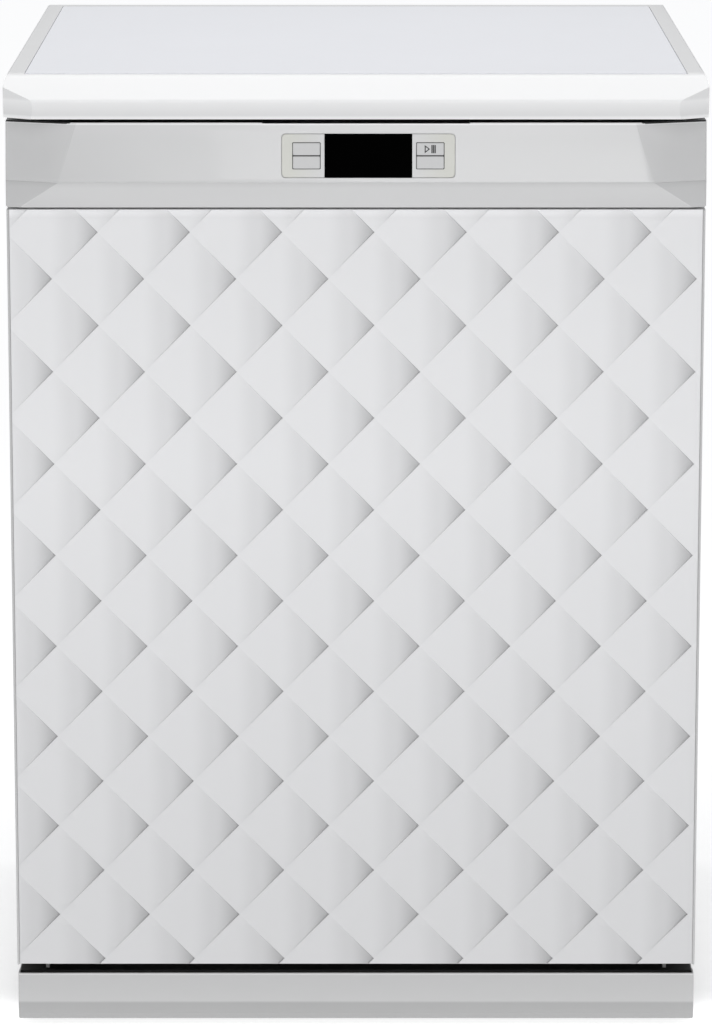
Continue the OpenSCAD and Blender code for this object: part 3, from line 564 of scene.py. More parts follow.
def dress(obj, slot, body, *replaced):
    """Gives a piece its material, body and the CAD nodes that it stands for."""
    obj.data.materials.clear()
    obj.data.materials.append(MATERIALS[slot])
    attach(obj, body)
    if replaced:
        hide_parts(*replaced)
    return obj


def refine(node, width=0.5 * MM, segments=2, name=None):
    """A CAD node with its edges rounded, standing for the node."""
    bm = bmesh.new()
    bm.from_mesh(NODES[node].data)
    bmesh.ops.remove_doubles(bm, verts=bm.verts, dist=1e-6)
    bmesh.ops.dissolve_limit(bm, angle_limit=math.radians(0.5), verts=bm.verts, edges=bm.edges)
    if width:
        soften(bm, width, 32, segments)
    piece = finish_mesh(bm, name or node + "_finished", 30)
    return dress(piece, SLOT_OF[node], BODY_OF[node], node)


# ---- Lid -------------------------------------------------


END_ANGLES = (12, 30, 48, 66)  # of the cuts that round the lid's ends


def lid_solid(lo, hi, nose):
    """The lid's moulding as one solid: rounded nose, drafted ends and corner facets."""
    front, top, bottom = lo.y, hi.z, lo.z
    corners = [
        (hi.y, bottom),
        (front + 3.6 * MM, bottom),
        (front + 0.7 * MM, bottom + 8 * MM),
        (front, bottom + 16.3 * MM),
        (front + nose - 1 * MM, top),
        (hi.y, top),
    ]
    radii = (1 * MM, 0.8 * MM, 5 * MM, 2.5 * MM, 7 * MM, 3 * MM)
    bm = prism(round_outline(corners, radii, 10), along_x, lo.x, hi.x)
    for side in (-1, 1):
        p = Vector((side * (hi.x - 21 * MM), front, top - 7 * MM))
        q = Vector((side * (hi.x - 30 * MM), front, bottom))
        r = Vector((side * hi.x, front + 15 * MM, (top + bottom) / 2))
        cut_plane(bm, *facet_plane(p, q, r))
        for angle in END_ANGLES:
            a = math.radians(angle)
            normal = Vector((side * math.cos(a), 0, math.sin(a)))
            corner = Vector((side * (hi.x - 5 * MM), 0, top - 14 * MM))
            reach = math.hypot(5 * MM * math.cos(a), 14 * MM * math.sin(a))
            cut_plane(bm, corner + normal * reach, normal)
    soften(bm, 1.1 * MM, 11, 3)
    return bm


# Levels up the lid's front, all painted light: a painted highlight on the lip, painted shade on
# the band above it, and a painted highlight on the slope over the crease
LID_LIGHT_LEVELS = ((0.0, 1.14), (0.05, 1.14), (0.1, 0.94), (0.43, 1.11), (0.5, 1.0))
LID_SPAN = 36 * MM


def lid_paint_and_light(name, colour, bottom):
    """The lid's glossy white moulding, with a painted highlight on its lip, painted shade on
    the band above it and a painted highlight on the slope over the crease.
    """
    s = Surface(name, colour, 0.34, coat=0.08)
    stops = [(at, shade(colour, level)) for at, level in LID_LIGHT_LEVELS]
    s.colour(s.ramp(s.rise(s.axis("Z"), bottom, LID_SPAN), stops))
    s.rough(s.noise(30, 3), 0.3, 0.38)
    s.bump(s.noise(900, 2), 0.01, 0.0004)


def make_lid():
    lo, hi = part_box("lid_frame")
    lid_paint_and_light("lid_plastic", linear(228), lo.z)
    board_lo, board_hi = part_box("lid_board")
    lid = finish_mesh(lid_solid(lo, hi, board_lo.y - lo.y), "lid_surround", 22)
    gap = 0.35 * MM
    pocket_lo = board_lo - Vector((gap, gap, gap))
    pocket_hi = board_hi + Vector((gap, gap, 5 * MM))
    boolean(lid, block(pocket_lo, pocket_hi, 0, "pocket"))
    under_lo = Vector((board_lo.x + 12 * MM, board_lo.y + 12 * MM, lo.z - 5 * MM))
    under_hi = Vector((board_hi.x - 12 * MM, board_hi.y - 12 * MM, board_lo.z + 1 * MM))
    boolean(lid, block(under_lo, under_hi, 2 * MM, "hollow"))
    smooth_by_angle(lid, 22)
    dress(lid, "lid_plastic", "cabinet", "lid_frame")
    board = block(board_lo, board_hi, 0.5 * MM, "lid_top_board", 2)
    dress(board, "lid_laminate", "cabinet", "lid_board")


# ---- Control fascia --------------------------------------

FASCIA_LO, FASCIA_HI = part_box("control_fascia")
PLATE_LO, PLATE_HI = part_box("control_plate")
CREASE_UP = 23 * MM
TOP_BACK = 4 * MM  # how far the top edge lies behind the crease
LEAN = math.atan2(TOP_BACK, FASCIA_HI.z - FASCIA_LO.z - CREASE_UP)
CREASE_Z = FASCIA_LO.z + CREASE_UP
PLATE_MID = Vector(
    (
        (PLATE_LO.x + PLATE_HI.x) / 2,
        FASCIA_LO.y + ((PLATE_LO.z + PLATE_HI.z) / 2 - CREASE_Z) * math.tan(LEAN),
        (PLATE_LO.z + PLATE_HI.z) / 2,
    )
)
ON_FASCIA = Matrix.Translation(PLATE_MID) @ Matrix.Rotation(-LEAN, 4, "X")
PLATE_W = PLATE_HI.x - PLATE_LO.x
PLATE_H = (PLATE_HI.z - PLATE_LO.z - 2 * MM * math.sin(LEAN)) / math.cos(LEAN)
GRIP_X = PLATE_MID.x - 2 * MM
GRIP_W = 177 * MM
GRIP_DEEP = 21 * MM
WALL = 2.5 * MM
FOOT_BACK = 11 * MM  # how far the lower edge does
FACET_BACK = 15 * MM  # how far the end facets lean back at the corner
KNEE = 46 * MM  # width of an end facet at the crease
SHOULDER = 32.5 * MM  # and at the top
EDGE_BACK = 6.2 * MM  # how far behind the crease the black painted shadow on the top starts

# Levels up the lower band of the fascia, painted shade that is darkest just under the crease
CREASE_SHADE_DOWN = 16 * MM
CREASE_SHADE_SPAN = 20 * MM
CREASE_SHADE_LEVELS = ((0.0, 0.95), (0.55, 0.94), (0.78, 0.85), (0.8, 1.0))


def fascia_solid(inset, back):
    """The fascia's outer form, drawn in by inset."""
    end = FASCIA_HI.x - inset
    crease_y = FASCIA_LO.y + inset
    top_y = FASCIA_LO.y + TOP_BACK + inset
    bottom_y = FASCIA_LO.y + FOOT_BACK + inset
    top, bottom = FASCIA_HI.z - inset, FASCIA_LO.z + inset
    outline = [(top_y, top), (crease_y, CREASE_Z), (bottom_y, bottom)]
    outline += [(back, bottom), (back, top)]
    bm = prism(outline, along_x, -end, end)
    x = FASCIA_HI.x
    for side in (-1, 1):
        knee = Vector((side * (x - KNEE), crease_y, CREASE_Z))
        shoulder = Vector((side * (x - SHOULDER), top_y, FASCIA_HI.z))
        corner = Vector((side * x, crease_y + FACET_BACK, CREASE_Z))
        foot = Vector((side * x, bottom_y, FASCIA_LO.z))
        cut_plane(bm, *facet_plane(shoulder, knee, corner))
        cut_plane(bm, *facet_plane(knee, corner, foot))
    return bm


def plaque(w, h, r, y0, y1, name, edge=0.0):
    """A rounded rectangle in the fascia's leaning plane, from depth y0 to y1."""
    outline = []
    for sx, sz, a in ((1, 1, 0), (-1, 1, 90), (-1, -1, 180), (1, -1, 270)):
        outline += bow((sx * (w / 2 - r), sz * (h / 2 - r)), (r, r), a, a + 90, 6)
    bm = prism(outline, along_y, y0, y1)
    if edge:
        soften(bm, edge, 60, 2)
    bm.transform(ON_FASCIA)
    return finish_mesh(bm, name)


def fascia_paint_and_light(name, colour):
    """Satin silver, with a painted highlight along the top edge, painted shade under the crease
    and on faces turned sideways, and a black painted shadow behind that edge and in the grip.
    """
    s = Surface(name, colour, 0.34, coat=0.25)
    height, top = s.axis("Z"), FASCIA_HI.z
    # Painted highlight: the top edge is lifted to 1.38 times the colour.
    top_edge_highlight = s.remap(height, top - 2.2 * MM, top - 1.2 * MM)
    drift = s.value("MULTIPLY_ADD", s.noise(6, 4), 0.08, top_edge_highlight)
    silver = s.mix(shade(colour, 0.99), shade(colour, 1.38), drift)
    # Painted shade under the crease.
    stops = [(at, neutral(level)) for at, level in CREASE_SHADE_LEVELS]
    fold = s.ramp(s.rise(height, CREASE_Z - CREASE_SHADE_DOWN, CREASE_SHADE_SPAN), stops)
    crease_shaded = s.mix(silver, fold, 1, "MULTIPLY")
    # Painted shade on faces turned sideways, such as the end facets.
    turned = s.value("ABSOLUTE", s.axis("X", s.facing))
    side_shaded = s.mix(crease_shaded, s.remap(turned, 0.1, 0.25, 1.0, 0.88), 1, "MULTIPLY")
    # Painted shadow: black, linear(14), on the top behind the bright edge and inside the grip,
    # where only shade falls.
    side = s.axis("X")
    shoulder = FASCIA_HI.x - SHOULDER
    past = s.value("MAXIMUM", s.value("SUBTRACT", s.value("ABSOLUTE", side), shoulder), 0.0)
    edge = s.value("MULTIPLY_ADD", past, FACET_BACK / KNEE, FASCIA_LO.y + EDGE_BACK)
    inward = s.value("GREATER_THAN", s.axis("Y"), edge)
    upper = s.value("GREATER_THAN", height, top - 1.2 * MM)
    grip = s.value("LESS_THAN", s.away(side, GRIP_X), GRIP_W / 2 + 0.2 * MM)
    deep = s.value("GREATER_THAN", height, top - GRIP_DEEP - 1.5 * MM)
    painted_shadow_mask = s.value("MAXIMUM", upper, s.value("MULTIPLY", grip, deep))
    s.colour(s.mix(side_shaded, linear(14), s.value("MULTIPLY", inward, painted_shadow_mask)))
    s.rough(s.noise(40, 3), 0.29, 0.39)
    s.bump(s.noise(900, 2), 0.015, 0.0004)


def make_fascia():
    bm = fascia_solid(0, FASCIA_HI.y)
    soften(bm, 0.8 * MM, 9, 3)
    fascia = finish_mesh(bm, "fascia_shell", 22)
    boolean(fascia, finish_mesh(fascia_solid(WALL, FASCIA_HI.y + 2 * MM), "hollow"))
    top_y, top = FASCIA_LO.y + TOP_BACK, FASCIA_HI.z
    grip_lo = Vector((GRIP_X - GRIP_W / 2, top_y + 16 * MM, top - GRIP_DEEP))
    grip_hi = Vector((GRIP_X + GRIP_W / 2, top_y + 39 * MM, top + 5 * MM))
    wall = Vector((2 * MM, 2 * MM, 2 * MM))
    cup_hi = grip_hi + Vector((2 * MM, 2 * MM, -6 * MM))
    boolean(fascia, block(grip_lo - wall, cup_hi, 0, "cup"), "UNION")
    lip_lo = Vector((grip_lo.x - 2 * MM, top_y + 2 * MM, top - 5 * MM))
    lip_hi = Vector((grip_hi.x + 2 * MM, grip_lo.y, top - 1 * MM))
    boolean(fascia, block(lip_lo, lip_hi, 0, "lip"), "UNION")
    boolean(fascia, block(grip_lo, grip_hi, 3 * MM, "grip"))
    low_lo = Vector((grip_lo.x, FASCIA_LO.y - 5 * MM, top - 0.6 * MM))
    low_hi = Vector((grip_hi.x, grip_lo.y + 4 * MM, top + 5 * MM))
    boolean(fascia, block(low_lo, low_hi, 0.4 * MM, "lowered"))
    pocket_w, pocket_h = PLATE_W + 0.5 * MM, PLATE_H + 0.5 * MM
    boolean(fascia, plaque(pocket_w, pocket_h, 3.6 * MM, -4 * MM, 2.5 * MM, "pocket"))
    knee = FASCIA_HI.x - KNEE
    facet_y = FASCIA_LO.y + FACET_BACK
    crease = [(-FASCIA_HI.x, facet_y, CREASE_Z), (-knee, FASCIA_LO.y, CREASE_Z)]
    crease += [(knee, FASCIA_LO.y, CREASE_Z), (FASCIA_HI.x, facet_y, CREASE_Z)]
    boolean(fascia, welded(wires([(crease, False)], 0.5 * MM, "crease")))
    boolean(fascia, plaque(PLATE_W - 8 * MM, PLATE_H - 8 * MM, 2 * MM, 0, 9 * MM, "window"))
    smooth_by_angle(fascia, 22)
    fascia_paint_and_light("fascia_silver", linear(216))
    dress(fascia, "fascia_silver", "door", "control_fascia")


def slab(x, z, w, h, y0, y1, name, edge=0.0, segments=2):
    """A box in the fascia's leaning plane, reaching w and h to each side of x and z."""
    lo, hi = Vector((x - w, y0, z - h)), Vector((x + w, y1, z + h))
    bm = rounded_box(lo, hi, edge, segments)
    bm.transform(ON_FASCIA)
    return finish_mesh(bm, name)


KEY_UP = 5.7 * MM  # from the plate's middle line to a key's middle
PAIR_H = 11.5 * MM  # half the height of the opening for a pair of keys


def make_controls():
    plate_w, plate_h = PLATE_W - 0.4 * MM, PLATE_H - 0.4 * MM
    plate = plaque(plate_w, plate_h, 3.4 * MM, 0.1 * MM, 2.2 * MM, "plate_face", 0.3 * MM)
    screen_lo, screen_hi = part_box("display_window")
    half = (screen_hi.x - screen_lo.x) / 2
    boolean(plate, slab(0, 0, half + 0.1 * MM, 30 * MM, -1 * MM, 1.2 * MM, "pocket"))
    key_lo, key_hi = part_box("button_right_top")
    key_x = (key_lo.x + key_hi.x) / 2 - PLATE_MID.x
    key_w = (key_hi.x - key_lo.x) / 2
    for x in (-key_x, key_x):
        w = key_w + 0.35 * MM
        boolean(plate, slab(x, 0, w, PAIR_H, -2 * MM, 5 * MM, "hole", 0.5 * MM))
    smooth_by_angle(plate)
    plate_paint(
        "plate_cream", linear(217), linear((214, 214, 207)), PLATE_MID.x, half + 2 * MM, 66 * MM
    )
    dress(plate, "plate_cream", "door", "control_plate")
    window = slab(0, 0, half, PLATE_H / 2, 0, 1.15 * MM, "display_glass", 0.25 * MM)
    dress(window, "display_black", "door", "display_window")
    for x, side in ((-key_x, "left"), (key_x, "right")):
        for z, level in ((-KEY_UP, "bottom"), (KEY_UP, "top")):
            node = f"button_{side}_{level}"
            w, h = key_w - 0.25 * MM, 5.2 * MM
            key = slab(x, z, w, h, -0.45 * MM, 5 * MM, node + "_key", 0.45 * MM, 3)
            stem = slab(x, z, 4 * MM, 3 * MM, 4.5 * MM, 8.6 * MM, "stem")
            boolean(key, stem, "UNION")
            smooth_by_angle(key)
            dress(key, "button_grey", node, node)
        # A black ring fills each pair of key openings: a dark piece that stands for the shade
        # in the gaps round the keys.
        w, h = key_w + 0.3 * MM, PAIR_H - 0.05 * MM
        ring = slab(x, 0, w, h, 0.1 * MM, 1.2 * MM, "key_gap_shade_" + side, 0.3 * MM)
        for z in (-KEY_UP, KEY_UP):
            w, h = key_w - 0.2 * MM, 5.25 * MM
            boolean(ring, slab(x, z, w, h, -2 * MM, 3 * MM, "key_hole"))
        smooth_by_angle(ring)
        dress(ring, "socket_black", "door")
    make_symbol(key_x, KEY_UP)


def make_symbol(x, z):
    """The play and pause sign printed on the upper right key: an outlined triangle and bars."""
    bm = bmesh.new()
    front, back = -0.47 * MM, -0.4 * MM
    left, right, tall, line = x - 4.8 * MM, x - 0.2 * MM, 3.5 * MM, 0.9 * MM
    short = tall * 0.52
    outer = ((left, z - tall), (right, z), (left, z + tall))
    inner = ((left + line, z - short), (right - line * 1.6, z), (left + line, z + short))
    rings = []
    for ring in (outer, inner):
        for y in (front, back):
            rings.append([bm.verts.new((u, y, v)) for u, v in ring])
    for i, j in ((0, 1), (1, 2), (2, 0)):
        for a, b in ((0, 2), (0, 1), (2, 3)):
            bm.faces.new((rings[a][i], rings[a][j], rings[b][j], rings[b][i]))
    for i in range(3):
        bar_x = x + (0.9 + 1.35 * i) * MM
        bar = rounded_box((bar_x, front, z - tall), (bar_x + 1.05 * MM, back, z + tall), 0)
        part = bpy.data.meshes.new("bar")
        bar.to_mesh(part)
        bar.free()
        bm.from_mesh(part)
        bpy.data.meshes.remove(part)
    bm.transform(ON_FASCIA)
    sign = finish_mesh(bm, "key_symbol")
    sign.data.materials.append(MATERIALS["key_ink"])
    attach(sign, "button_right_top")


# ---- Quilted decor panel ---------------------------------

DECOR_LO, DECOR_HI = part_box("door_decor_panel")
QUILT_W, QUILT_H = 79 * MM, 80.9 * MM
QUILT_X = 15.9 * MM
QUILT_Z = 713.7 * MM
RELIEF = 2.1 * MM
FLAT = 0.42


def sink(u):
    """How deep a diamond lies at u, from 0 at its left tip to 1 at its right tip."""
    t = max(0.0, (u - FLAT) / (1 - FLAT))
    return RELIEF * t * t * (3 - 2 * t) * 0.55 + RELIEF * 0.45 * t * t


def make_quilt():
    """Overlapping diamonds: each is proud on its left and sinks under its right neighbours."""
    bm = bmesh.new()
    steps = 10
    edge = 1.0 * MM
    reach_x = int((DECOR_HI.x - DECOR_LO.x) / QUILT_W) + 2
    reach_z = int((DECOR_HI.z - DECOR_LO.z) / QUILT_H) + 2
    reach = reach_x + reach_z
    cells = {}

    def vertex(a, b, depth):
        """The point at lattice coordinates a and b, counted from the right tip at the top."""
        x = QUILT_X + (a + b) / 2 * QUILT_W
        z = QUILT_Z + (a - b) / 2 * QUILT_H
        key = (round(a * 1000), round(b * 1000), round(depth * 1e7))
        if key not in cells:
            cells[key] = bm.verts.new((x, DECOR_LO.y + depth, z))
        return cells[key]

    inner = 1 - edge / QUILT_W
    marks = [i / steps * inner for i in range(steps + 1)] + [1.0]
    for i in range(-reach, reach + 1):
        for j in range(-reach, reach + 1):
            x = QUILT_X + (i + j + 1) / 2 * QUILT_W
            z = QUILT_Z + (i - j) / 2 * QUILT_H
            if abs(x) > DECOR_HI.x + QUILT_W:
                continue
            if not DECOR_LO.z - QUILT_H < z < DECOR_HI.z + QUILT_H:
                continue
            for p in range(len(marks) - 1):
                for q in range(len(marks) - 1):
                    corners = []
                    for s, t in ((0, 0), (1, 0), (1, 1), (0, 1)):
                        fa, fb = marks[p + s], marks[q + t]
                        a, b = i + fa, j + fb
                        u = ((fa if fa < 1 else 0) + (fb if fb < 1 else 0)) / 2
                        corners.append(vertex(a, b, sink(u)))
                    if len(set(corners)) == 4:
                        bm.faces.new(corners)
    bmesh.ops.remove_doubles(bm, verts=bm.verts, dist=1e-7)
    for point, normal in (
        ((DECOR_LO.x, 0, 0), (-1, 0, 0)),
        ((DECOR_HI.x, 0, 0), (1, 0, 0)),
        ((0, 0, DECOR_LO.z + 0.9 * MM), (0, 0, -1)),
        ((0, 0, DECOR_HI.z), (0, 0, 1)),
    ):
        trim(bm, point, normal)
    rim = [e for e in bm.edges if e.is_boundary]
    for part in bmesh.ops.extrude_edge_only(bm, edges=rim)["geom"]:
        if isinstance(part, bmesh.types.BMVert):
            part.co.y = DECOR_HI.y
    bmesh.ops.contextual_create(bm, geom=[e for e in bm.edges if e.is_boundary])
    panel = finish_mesh(bm, "quilted_panel", 24)
    quilted("decor_white")
    dress(panel, "decor_white", "door", "door_decor_panel")


# Painted shade across a diamond: greys from its left tip to its right tip, where it sinks under
# its neighbours
QUILT_SHADE_GREYS = ((0.0, 236), (0.45, 235), (0.72, 225), (1.0, 195))
FOOT_SHADE_UP = 0.45  # height over which the panel's foot is darker, a painted shade
TOP_HIGHLIGHT_DOWN = 7 * MM  # height over which its top edge is paler, a painted highlight


def quilted(name):
    """White decor with painted light: painted shade darkens the diamonds towards their right
    tips and the panel towards its foot, and a painted highlight makes its top edge paler.
    """
    s = Surface(name, linear(228), 0.5, coat=0.05)
    height = s.axis("Z")
    across = s.rise(s.axis("X"), QUILT_X, QUILT_W)
    up = s.rise(height, QUILT_Z, QUILT_H)
    a = s.value("FRACT", s.value("ADD", across, up))
    b = s.value("FRACT", s.value("SUBTRACT", across, up))
    u = s.value("MULTIPLY", s.value("ADD", a, b), 0.5)
    stops = [(at, linear((g, g, g + 1))) for at, g in QUILT_SHADE_GREYS]
    diamonds = s.ramp(u, stops, "EASE")
    # Painted shade towards the foot, and a painted highlight along the top edge; the mottle is
    # random.
    foot_shade = s.remap(height, DECOR_LO.z, DECOR_LO.z + FOOT_SHADE_UP, 0.8, 1.0)
    rim = s.remap(height, DECOR_HI.z - TOP_HIGHLIGHT_DOWN, DECOR_HI.z, 1.0, 1.22)
    mottle = s.spread(s.noise(7, 4), 0.985, 1.01)
    light_and_mottle = s.value("MULTIPLY", s.value("MULTIPLY", foot_shade, rim), mottle)
    s.colour(s.mix(diamonds, light_and_mottle, 1, "MULTIPLY"))
    s.bump(s.noise(1500, 2), 0.05, 0.0002)


# ---- Wires, coils and other round stock ------------------


def fillet(points, radius, closed=False, n=5):
    """Rounds the corners of a path in space."""
    path = []
    last = len(points) - 1
    for i, place in enumerate(points):
        p = Vector(place)
        if not closed and i in (0, last):
            path.append(p)
            continue
        a, b = Vector(points[i - 1]), Vector(points[(i + 1) % len(points)])
        r = min(radius, (a - p).length * 0.48, (b - p).length * 0.48)
        path += round_corner(a, p, b, r, n)
    return path


def wires(paths, radius, name, sides=2):
    """Round wires along open or closed paths, as one mesh. Each path is (points, closed)."""
    curve = bpy.data.curves.new(name, "CURVE")
    curve.dimensions = "3D"
    curve.bevel_depth = radius
    curve.bevel_resolution = sides
    curve.use_fill_caps = True
    for points, closed in paths:
        spline = curve.splines.new("POLY")
        spline.points.add(len(points) - 1)
        for place, p in zip(spline.points, points):
            place.co = (*p, 1)
        spline.use_cyclic_u = closed
    holder = stand(name, curve)
    mesh = evaluated_mesh(holder)
    bpy.data.objects.remove(holder)
    bpy.data.curves.remove(curve)
    mesh.name = name
    for face in mesh.polygons:
        face.use_smooth = True
    return stand(name, mesh)


def welded(obj):
    """Joins the caps of a wire to its wall, so that a boolean can use it."""
    bm = bmesh.new()
    bm.from_mesh(obj.data)
    bmesh.ops.remove_doubles(bm, verts=bm.verts, dist=1e-6)
    bmesh.ops.recalc_face_normals(bm, faces=bm.faces)
    bm.to_mesh(obj.data)
    bm.free()
    return obj


def coil(start, end, radius, pitch):
    """Points of a helix between two points."""
    axis = Vector(end) - Vector(start)
    side = axis.orthogonal().normalized()
    up = axis.normalized().cross(side)
    turns = axis.length / pitch
    count = int(turns * 12)
    points = []
    for i in range(count + 1):
        t = i / count
        a = 2 * math.pi * turns * t
        round_axis = side * math.cos(a) + up * math.sin(a)
        points.append(Vector(start) + axis * t + round_axis * radius)
    return points


def join(objects, name):
    """Several meshes as one."""
    bm = bmesh.new()
    for obj in objects:
        bm.from_mesh(obj.data)
        bpy.data.objects.remove(obj)
    mesh = bpy.data.meshes.new(name)
    bm.to_mesh(mesh)
    bm.free()
    return stand(name, mesh)


def rod(start, end, radius, name="rod", edge=0.0, sides=32):
    """A round bar between two points, with softened rims."""
    start, end = Vector(start), Vector(end)
    bm = bmesh.new()
    bmesh.ops.create_cone(
        bm, cap_ends=True, segments=sides, radius1=radius, radius2=radius, depth=1
    )
    bmesh.ops.scale(bm, vec=(1, 1, (end - start).length), verts=bm.verts)
    if edge:
        soften(bm, edge, 60, 2)
    turn = (end - start).to_track_quat("Z", "Y").to_matrix().to_4x4()
    bm.transform(Matrix.Translation((start + end) / 2) @ turn)
    return finish_mesh(bm, name, 40)


# ---- Baskets ---------------------------------------------

WIRE = 1.9 * MM
GRID = 4 * MM
PITCH = 44 * MM
BASKET_H = 126 * MM
BAR_UP = GRID / 2 + 3 * MM  # from the floor wires to a bar of tines
TINE_H = 66 * MM
TINE_STEP = 32 * MM


def spaced(lo, hi, pitch):
    """Evenly spaced places from lo to hi, as near the pitch as fits."""
    n = max(1, round((hi - lo) / pitch))
    return [lo + (hi - lo) * i / n for i in range(n + 1)]


def basket_paths(half, y0, y1, z, top):
    """A basket's wires: hoops bent up at the walls, both ways, and rings round them."""
    edge = GRID / 2
    x0, x1 = -half + edge, half - edge
    front, back = y0 + edge, y1 - edge
    paths = []
    for x in spaced(x0, x1, PITCH)[1:-1]:
        hoop = [(x, front, top), (x, front, z), (x, back, z), (x, back, top)]
        paths.append((fillet(hoop, 9 * MM), False))
    for y in spaced(front, back, PITCH)[1:-1]:
        hoop = [(x0, y, top), (x0, y, z), (x1, y, z), (x1, y, top)]
        paths.append((fillet(hoop, 9 * MM), False))
    for level in spaced(z, top, PITCH)[1:]:
        ring = [(x0, front, level), (x1, front, level), (x1, back, level), (x0, back, level)]
        paths.append((fillet(ring, 12 * MM, True), True))
    return paths


def basket_levels(hi):
    """The heights of a basket's rim and of its floor wires."""
    return hi.z - GRID / 2, hi.z - BASKET_H - 0.5 * MM - GRID / 2


def tine_paths(x, z, row, bar_past=0.0):
    """A bar along Y with the plate tines standing on it."""
    paths = [([(x, row[0] - bar_past, z), (x, row[1] + bar_past, z)], False)]
    y = row[0] + 6 * MM
    while y <= row[1] - 6 * MM:
        paths.append(([(x, y, z), (x, y, z + TINE_H - 1 * MM)], False))
        y += TINE_STEP
    return paths


def lug(axis, y, x0, x1, z0, z1):
    """A lug on a basket, with a bore along Y for a pivot."""
    body = block((x0, y, z0), (x1, y + 8 * MM, z1), 1.2 * MM)
    bore = rod((axis.x, y - 5 * MM, axis.z), (axis.x, y + 13 * MM, axis.z), 2.6 * MM)
    return boolean(body, bore)


def make_lower_rack():
    lo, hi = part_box("lower_rack")
    tines_lo, tines_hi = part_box("folding_tines")
    wheel_lo, wheel_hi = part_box("lower_wheels_front")
    rear_lo, rear_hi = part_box("lower_wheels_rear")
    top, floor_z = basket_levels(hi)
    half = -wheel_lo.x - 16 * MM
    row = (lo.y + 40 * MM, hi.y - 60 * MM)
    paths = basket_paths(half, lo.y, hi.y, floor_z, top)
    for x in (-half + 52 * MM, -half + 138 * MM):
        paths += tine_paths(x, floor_z + BAR_UP, row)
    parts = [wires(paths, WIRE, "rack_wires")]
    axle_z = (wheel_lo.z + wheel_hi.z) / 2
    for y in ((wheel_lo.y + wheel_hi.y) / 2, (rear_lo.y + rear_hi.y) / 2):
        for side in (-1, 1):
            inner, outer = side * (half - 4 * MM), side * wheel_hi.x
            x0, x1 = sorted((side * (half - 4 * MM), side * half))
            plate_lo = (x0, y - 13 * MM, axle_z - 8 * MM)
            parts.append(block(plate_lo, (x1, y + 13 * MM, floor_z), 1.2 * MM))
            parts.append(rod((inner, y, axle_z), (outer, y, axle_z), 2.9 * MM, edge=0.6 * MM))
    axis = Vector(((tines_lo.x + tines_hi.x) / 2, 0, tines_lo.z + 2.5 * MM))
    for y in (tines_lo.y - 0.5 * MM, tines_hi.y - 7.5 * MM):
        x0, x1 = axis.x - 7 * MM, axis.x + 7 * MM
        parts.append(lug(axis, y, x0, x1, floor_z, axis.z + 7 * MM))
    dress(join(parts, "lower_basket"), "rack_coating", "lower_rack", "lower_rack")
    paths = tine_paths(axis.x, axis.z, (tines_lo.y + 8 * MM, tines_hi.y - 8 * MM), 8 * MM)
    fold = wires(paths, 2 * MM, "folding_tine_row")
    dress(fold, SLOT_OF["folding_tines"], "folding_tines", "folding_tines")


def make_upper_rack():
    lo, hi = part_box("upper_rack")
    slide_lo, slide_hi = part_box("upper_slides")
    shelf_lo, shelf_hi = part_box("cup_shelf")
    top, floor_z = basket_levels(hi)
    half = hi.x - 12.5 * MM
    row = (lo.y + 40 * MM, lo.y + 385 * MM)
    paths = basket_paths(half, lo.y, hi.y, floor_z, top)
    paths += tine_paths(half - 120 * MM, floor_z + BAR_UP, row)
    parts = [wires(paths, WIRE, "rack_wires")]
    slide_z = (slide_lo.z + slide_hi.z) / 2
    for side in (-1, 1):
        x0, x1 = sorted((side * (half - 3 * MM), side * hi.x))
        for y in (lo.y + 40 * MM, hi.y - 58 * MM):
            bracket_lo = (x0, y, slide_z - 6 * MM)
            parts.append(block(bracket_lo, (x1, y + 26 * MM, slide_z + 6 * MM), 1.5 * MM))
    axis = Vector((shelf_lo.x + 2.5 * MM, 0, (shelf_lo.z + shelf_hi.z) / 2))
    for y in (shelf_lo.y - 0.5 * MM, shelf_hi.y - 7.5 * MM):
        x0, x1 = -half + 3 * MM, axis.x + 5 * MM
        parts.append(lug(axis, y, x0, x1, axis.z - 6 * MM, axis.z + 6 * MM))
    dress(join(parts, "upper_basket"), "rack_coating", "upper_rack", "upper_rack")
    y0, y1 = shelf_lo.y + 10 * MM, shelf_hi.y - 10 * MM
    x0, x1 = axis.x, shelf_hi.x - 2 * MM
    z = axis.z
    loop = [(x0, y0, z), (x1, y0, z), (x1, y1, z), (x0, y1, z)]
    paths = [(fillet(loop, 10 * MM, True), True)]
    paths.append(([(x0, shelf_lo.y, z), (x0, shelf_hi.y, z)], False))
    for y in spaced(y0, y1, 30 * MM)[1:-1]:
        paths.append(([(x0, y, z), (x1, y, z)], False))
    for x in spaced(x0, x1, 30 * MM)[1:-1]:
        paths.append(([(x, y0, z), (x, y1, z)], False))
    dress(wires(paths, WIRE, "cup_shelf_wires"), SLOT_OF["cup_shelf"], "cup_shelf", "cup_shelf")


# ---- Tub, liner and spray arms ---------------------------


def tub_outline(half, ledge, floor_z, ledge_z, top, grow):
    corners = [
        (-ledge - grow, floor_z - grow),
        (ledge + grow, floor_z - grow),
        (ledge + grow, ledge_z - grow),
        (half + grow, ledge_z - grow),
        (half + grow, top + grow),
        (-half - grow, top + grow),
        (-half - grow, ledge_z - grow),
        (-ledge - grow, ledge_z - grow),
    ]
    corner, small = 26 * MM + grow, 4 * MM
    return round_outline(corners, (small, small, 0, small, corner, corner, small, 0))


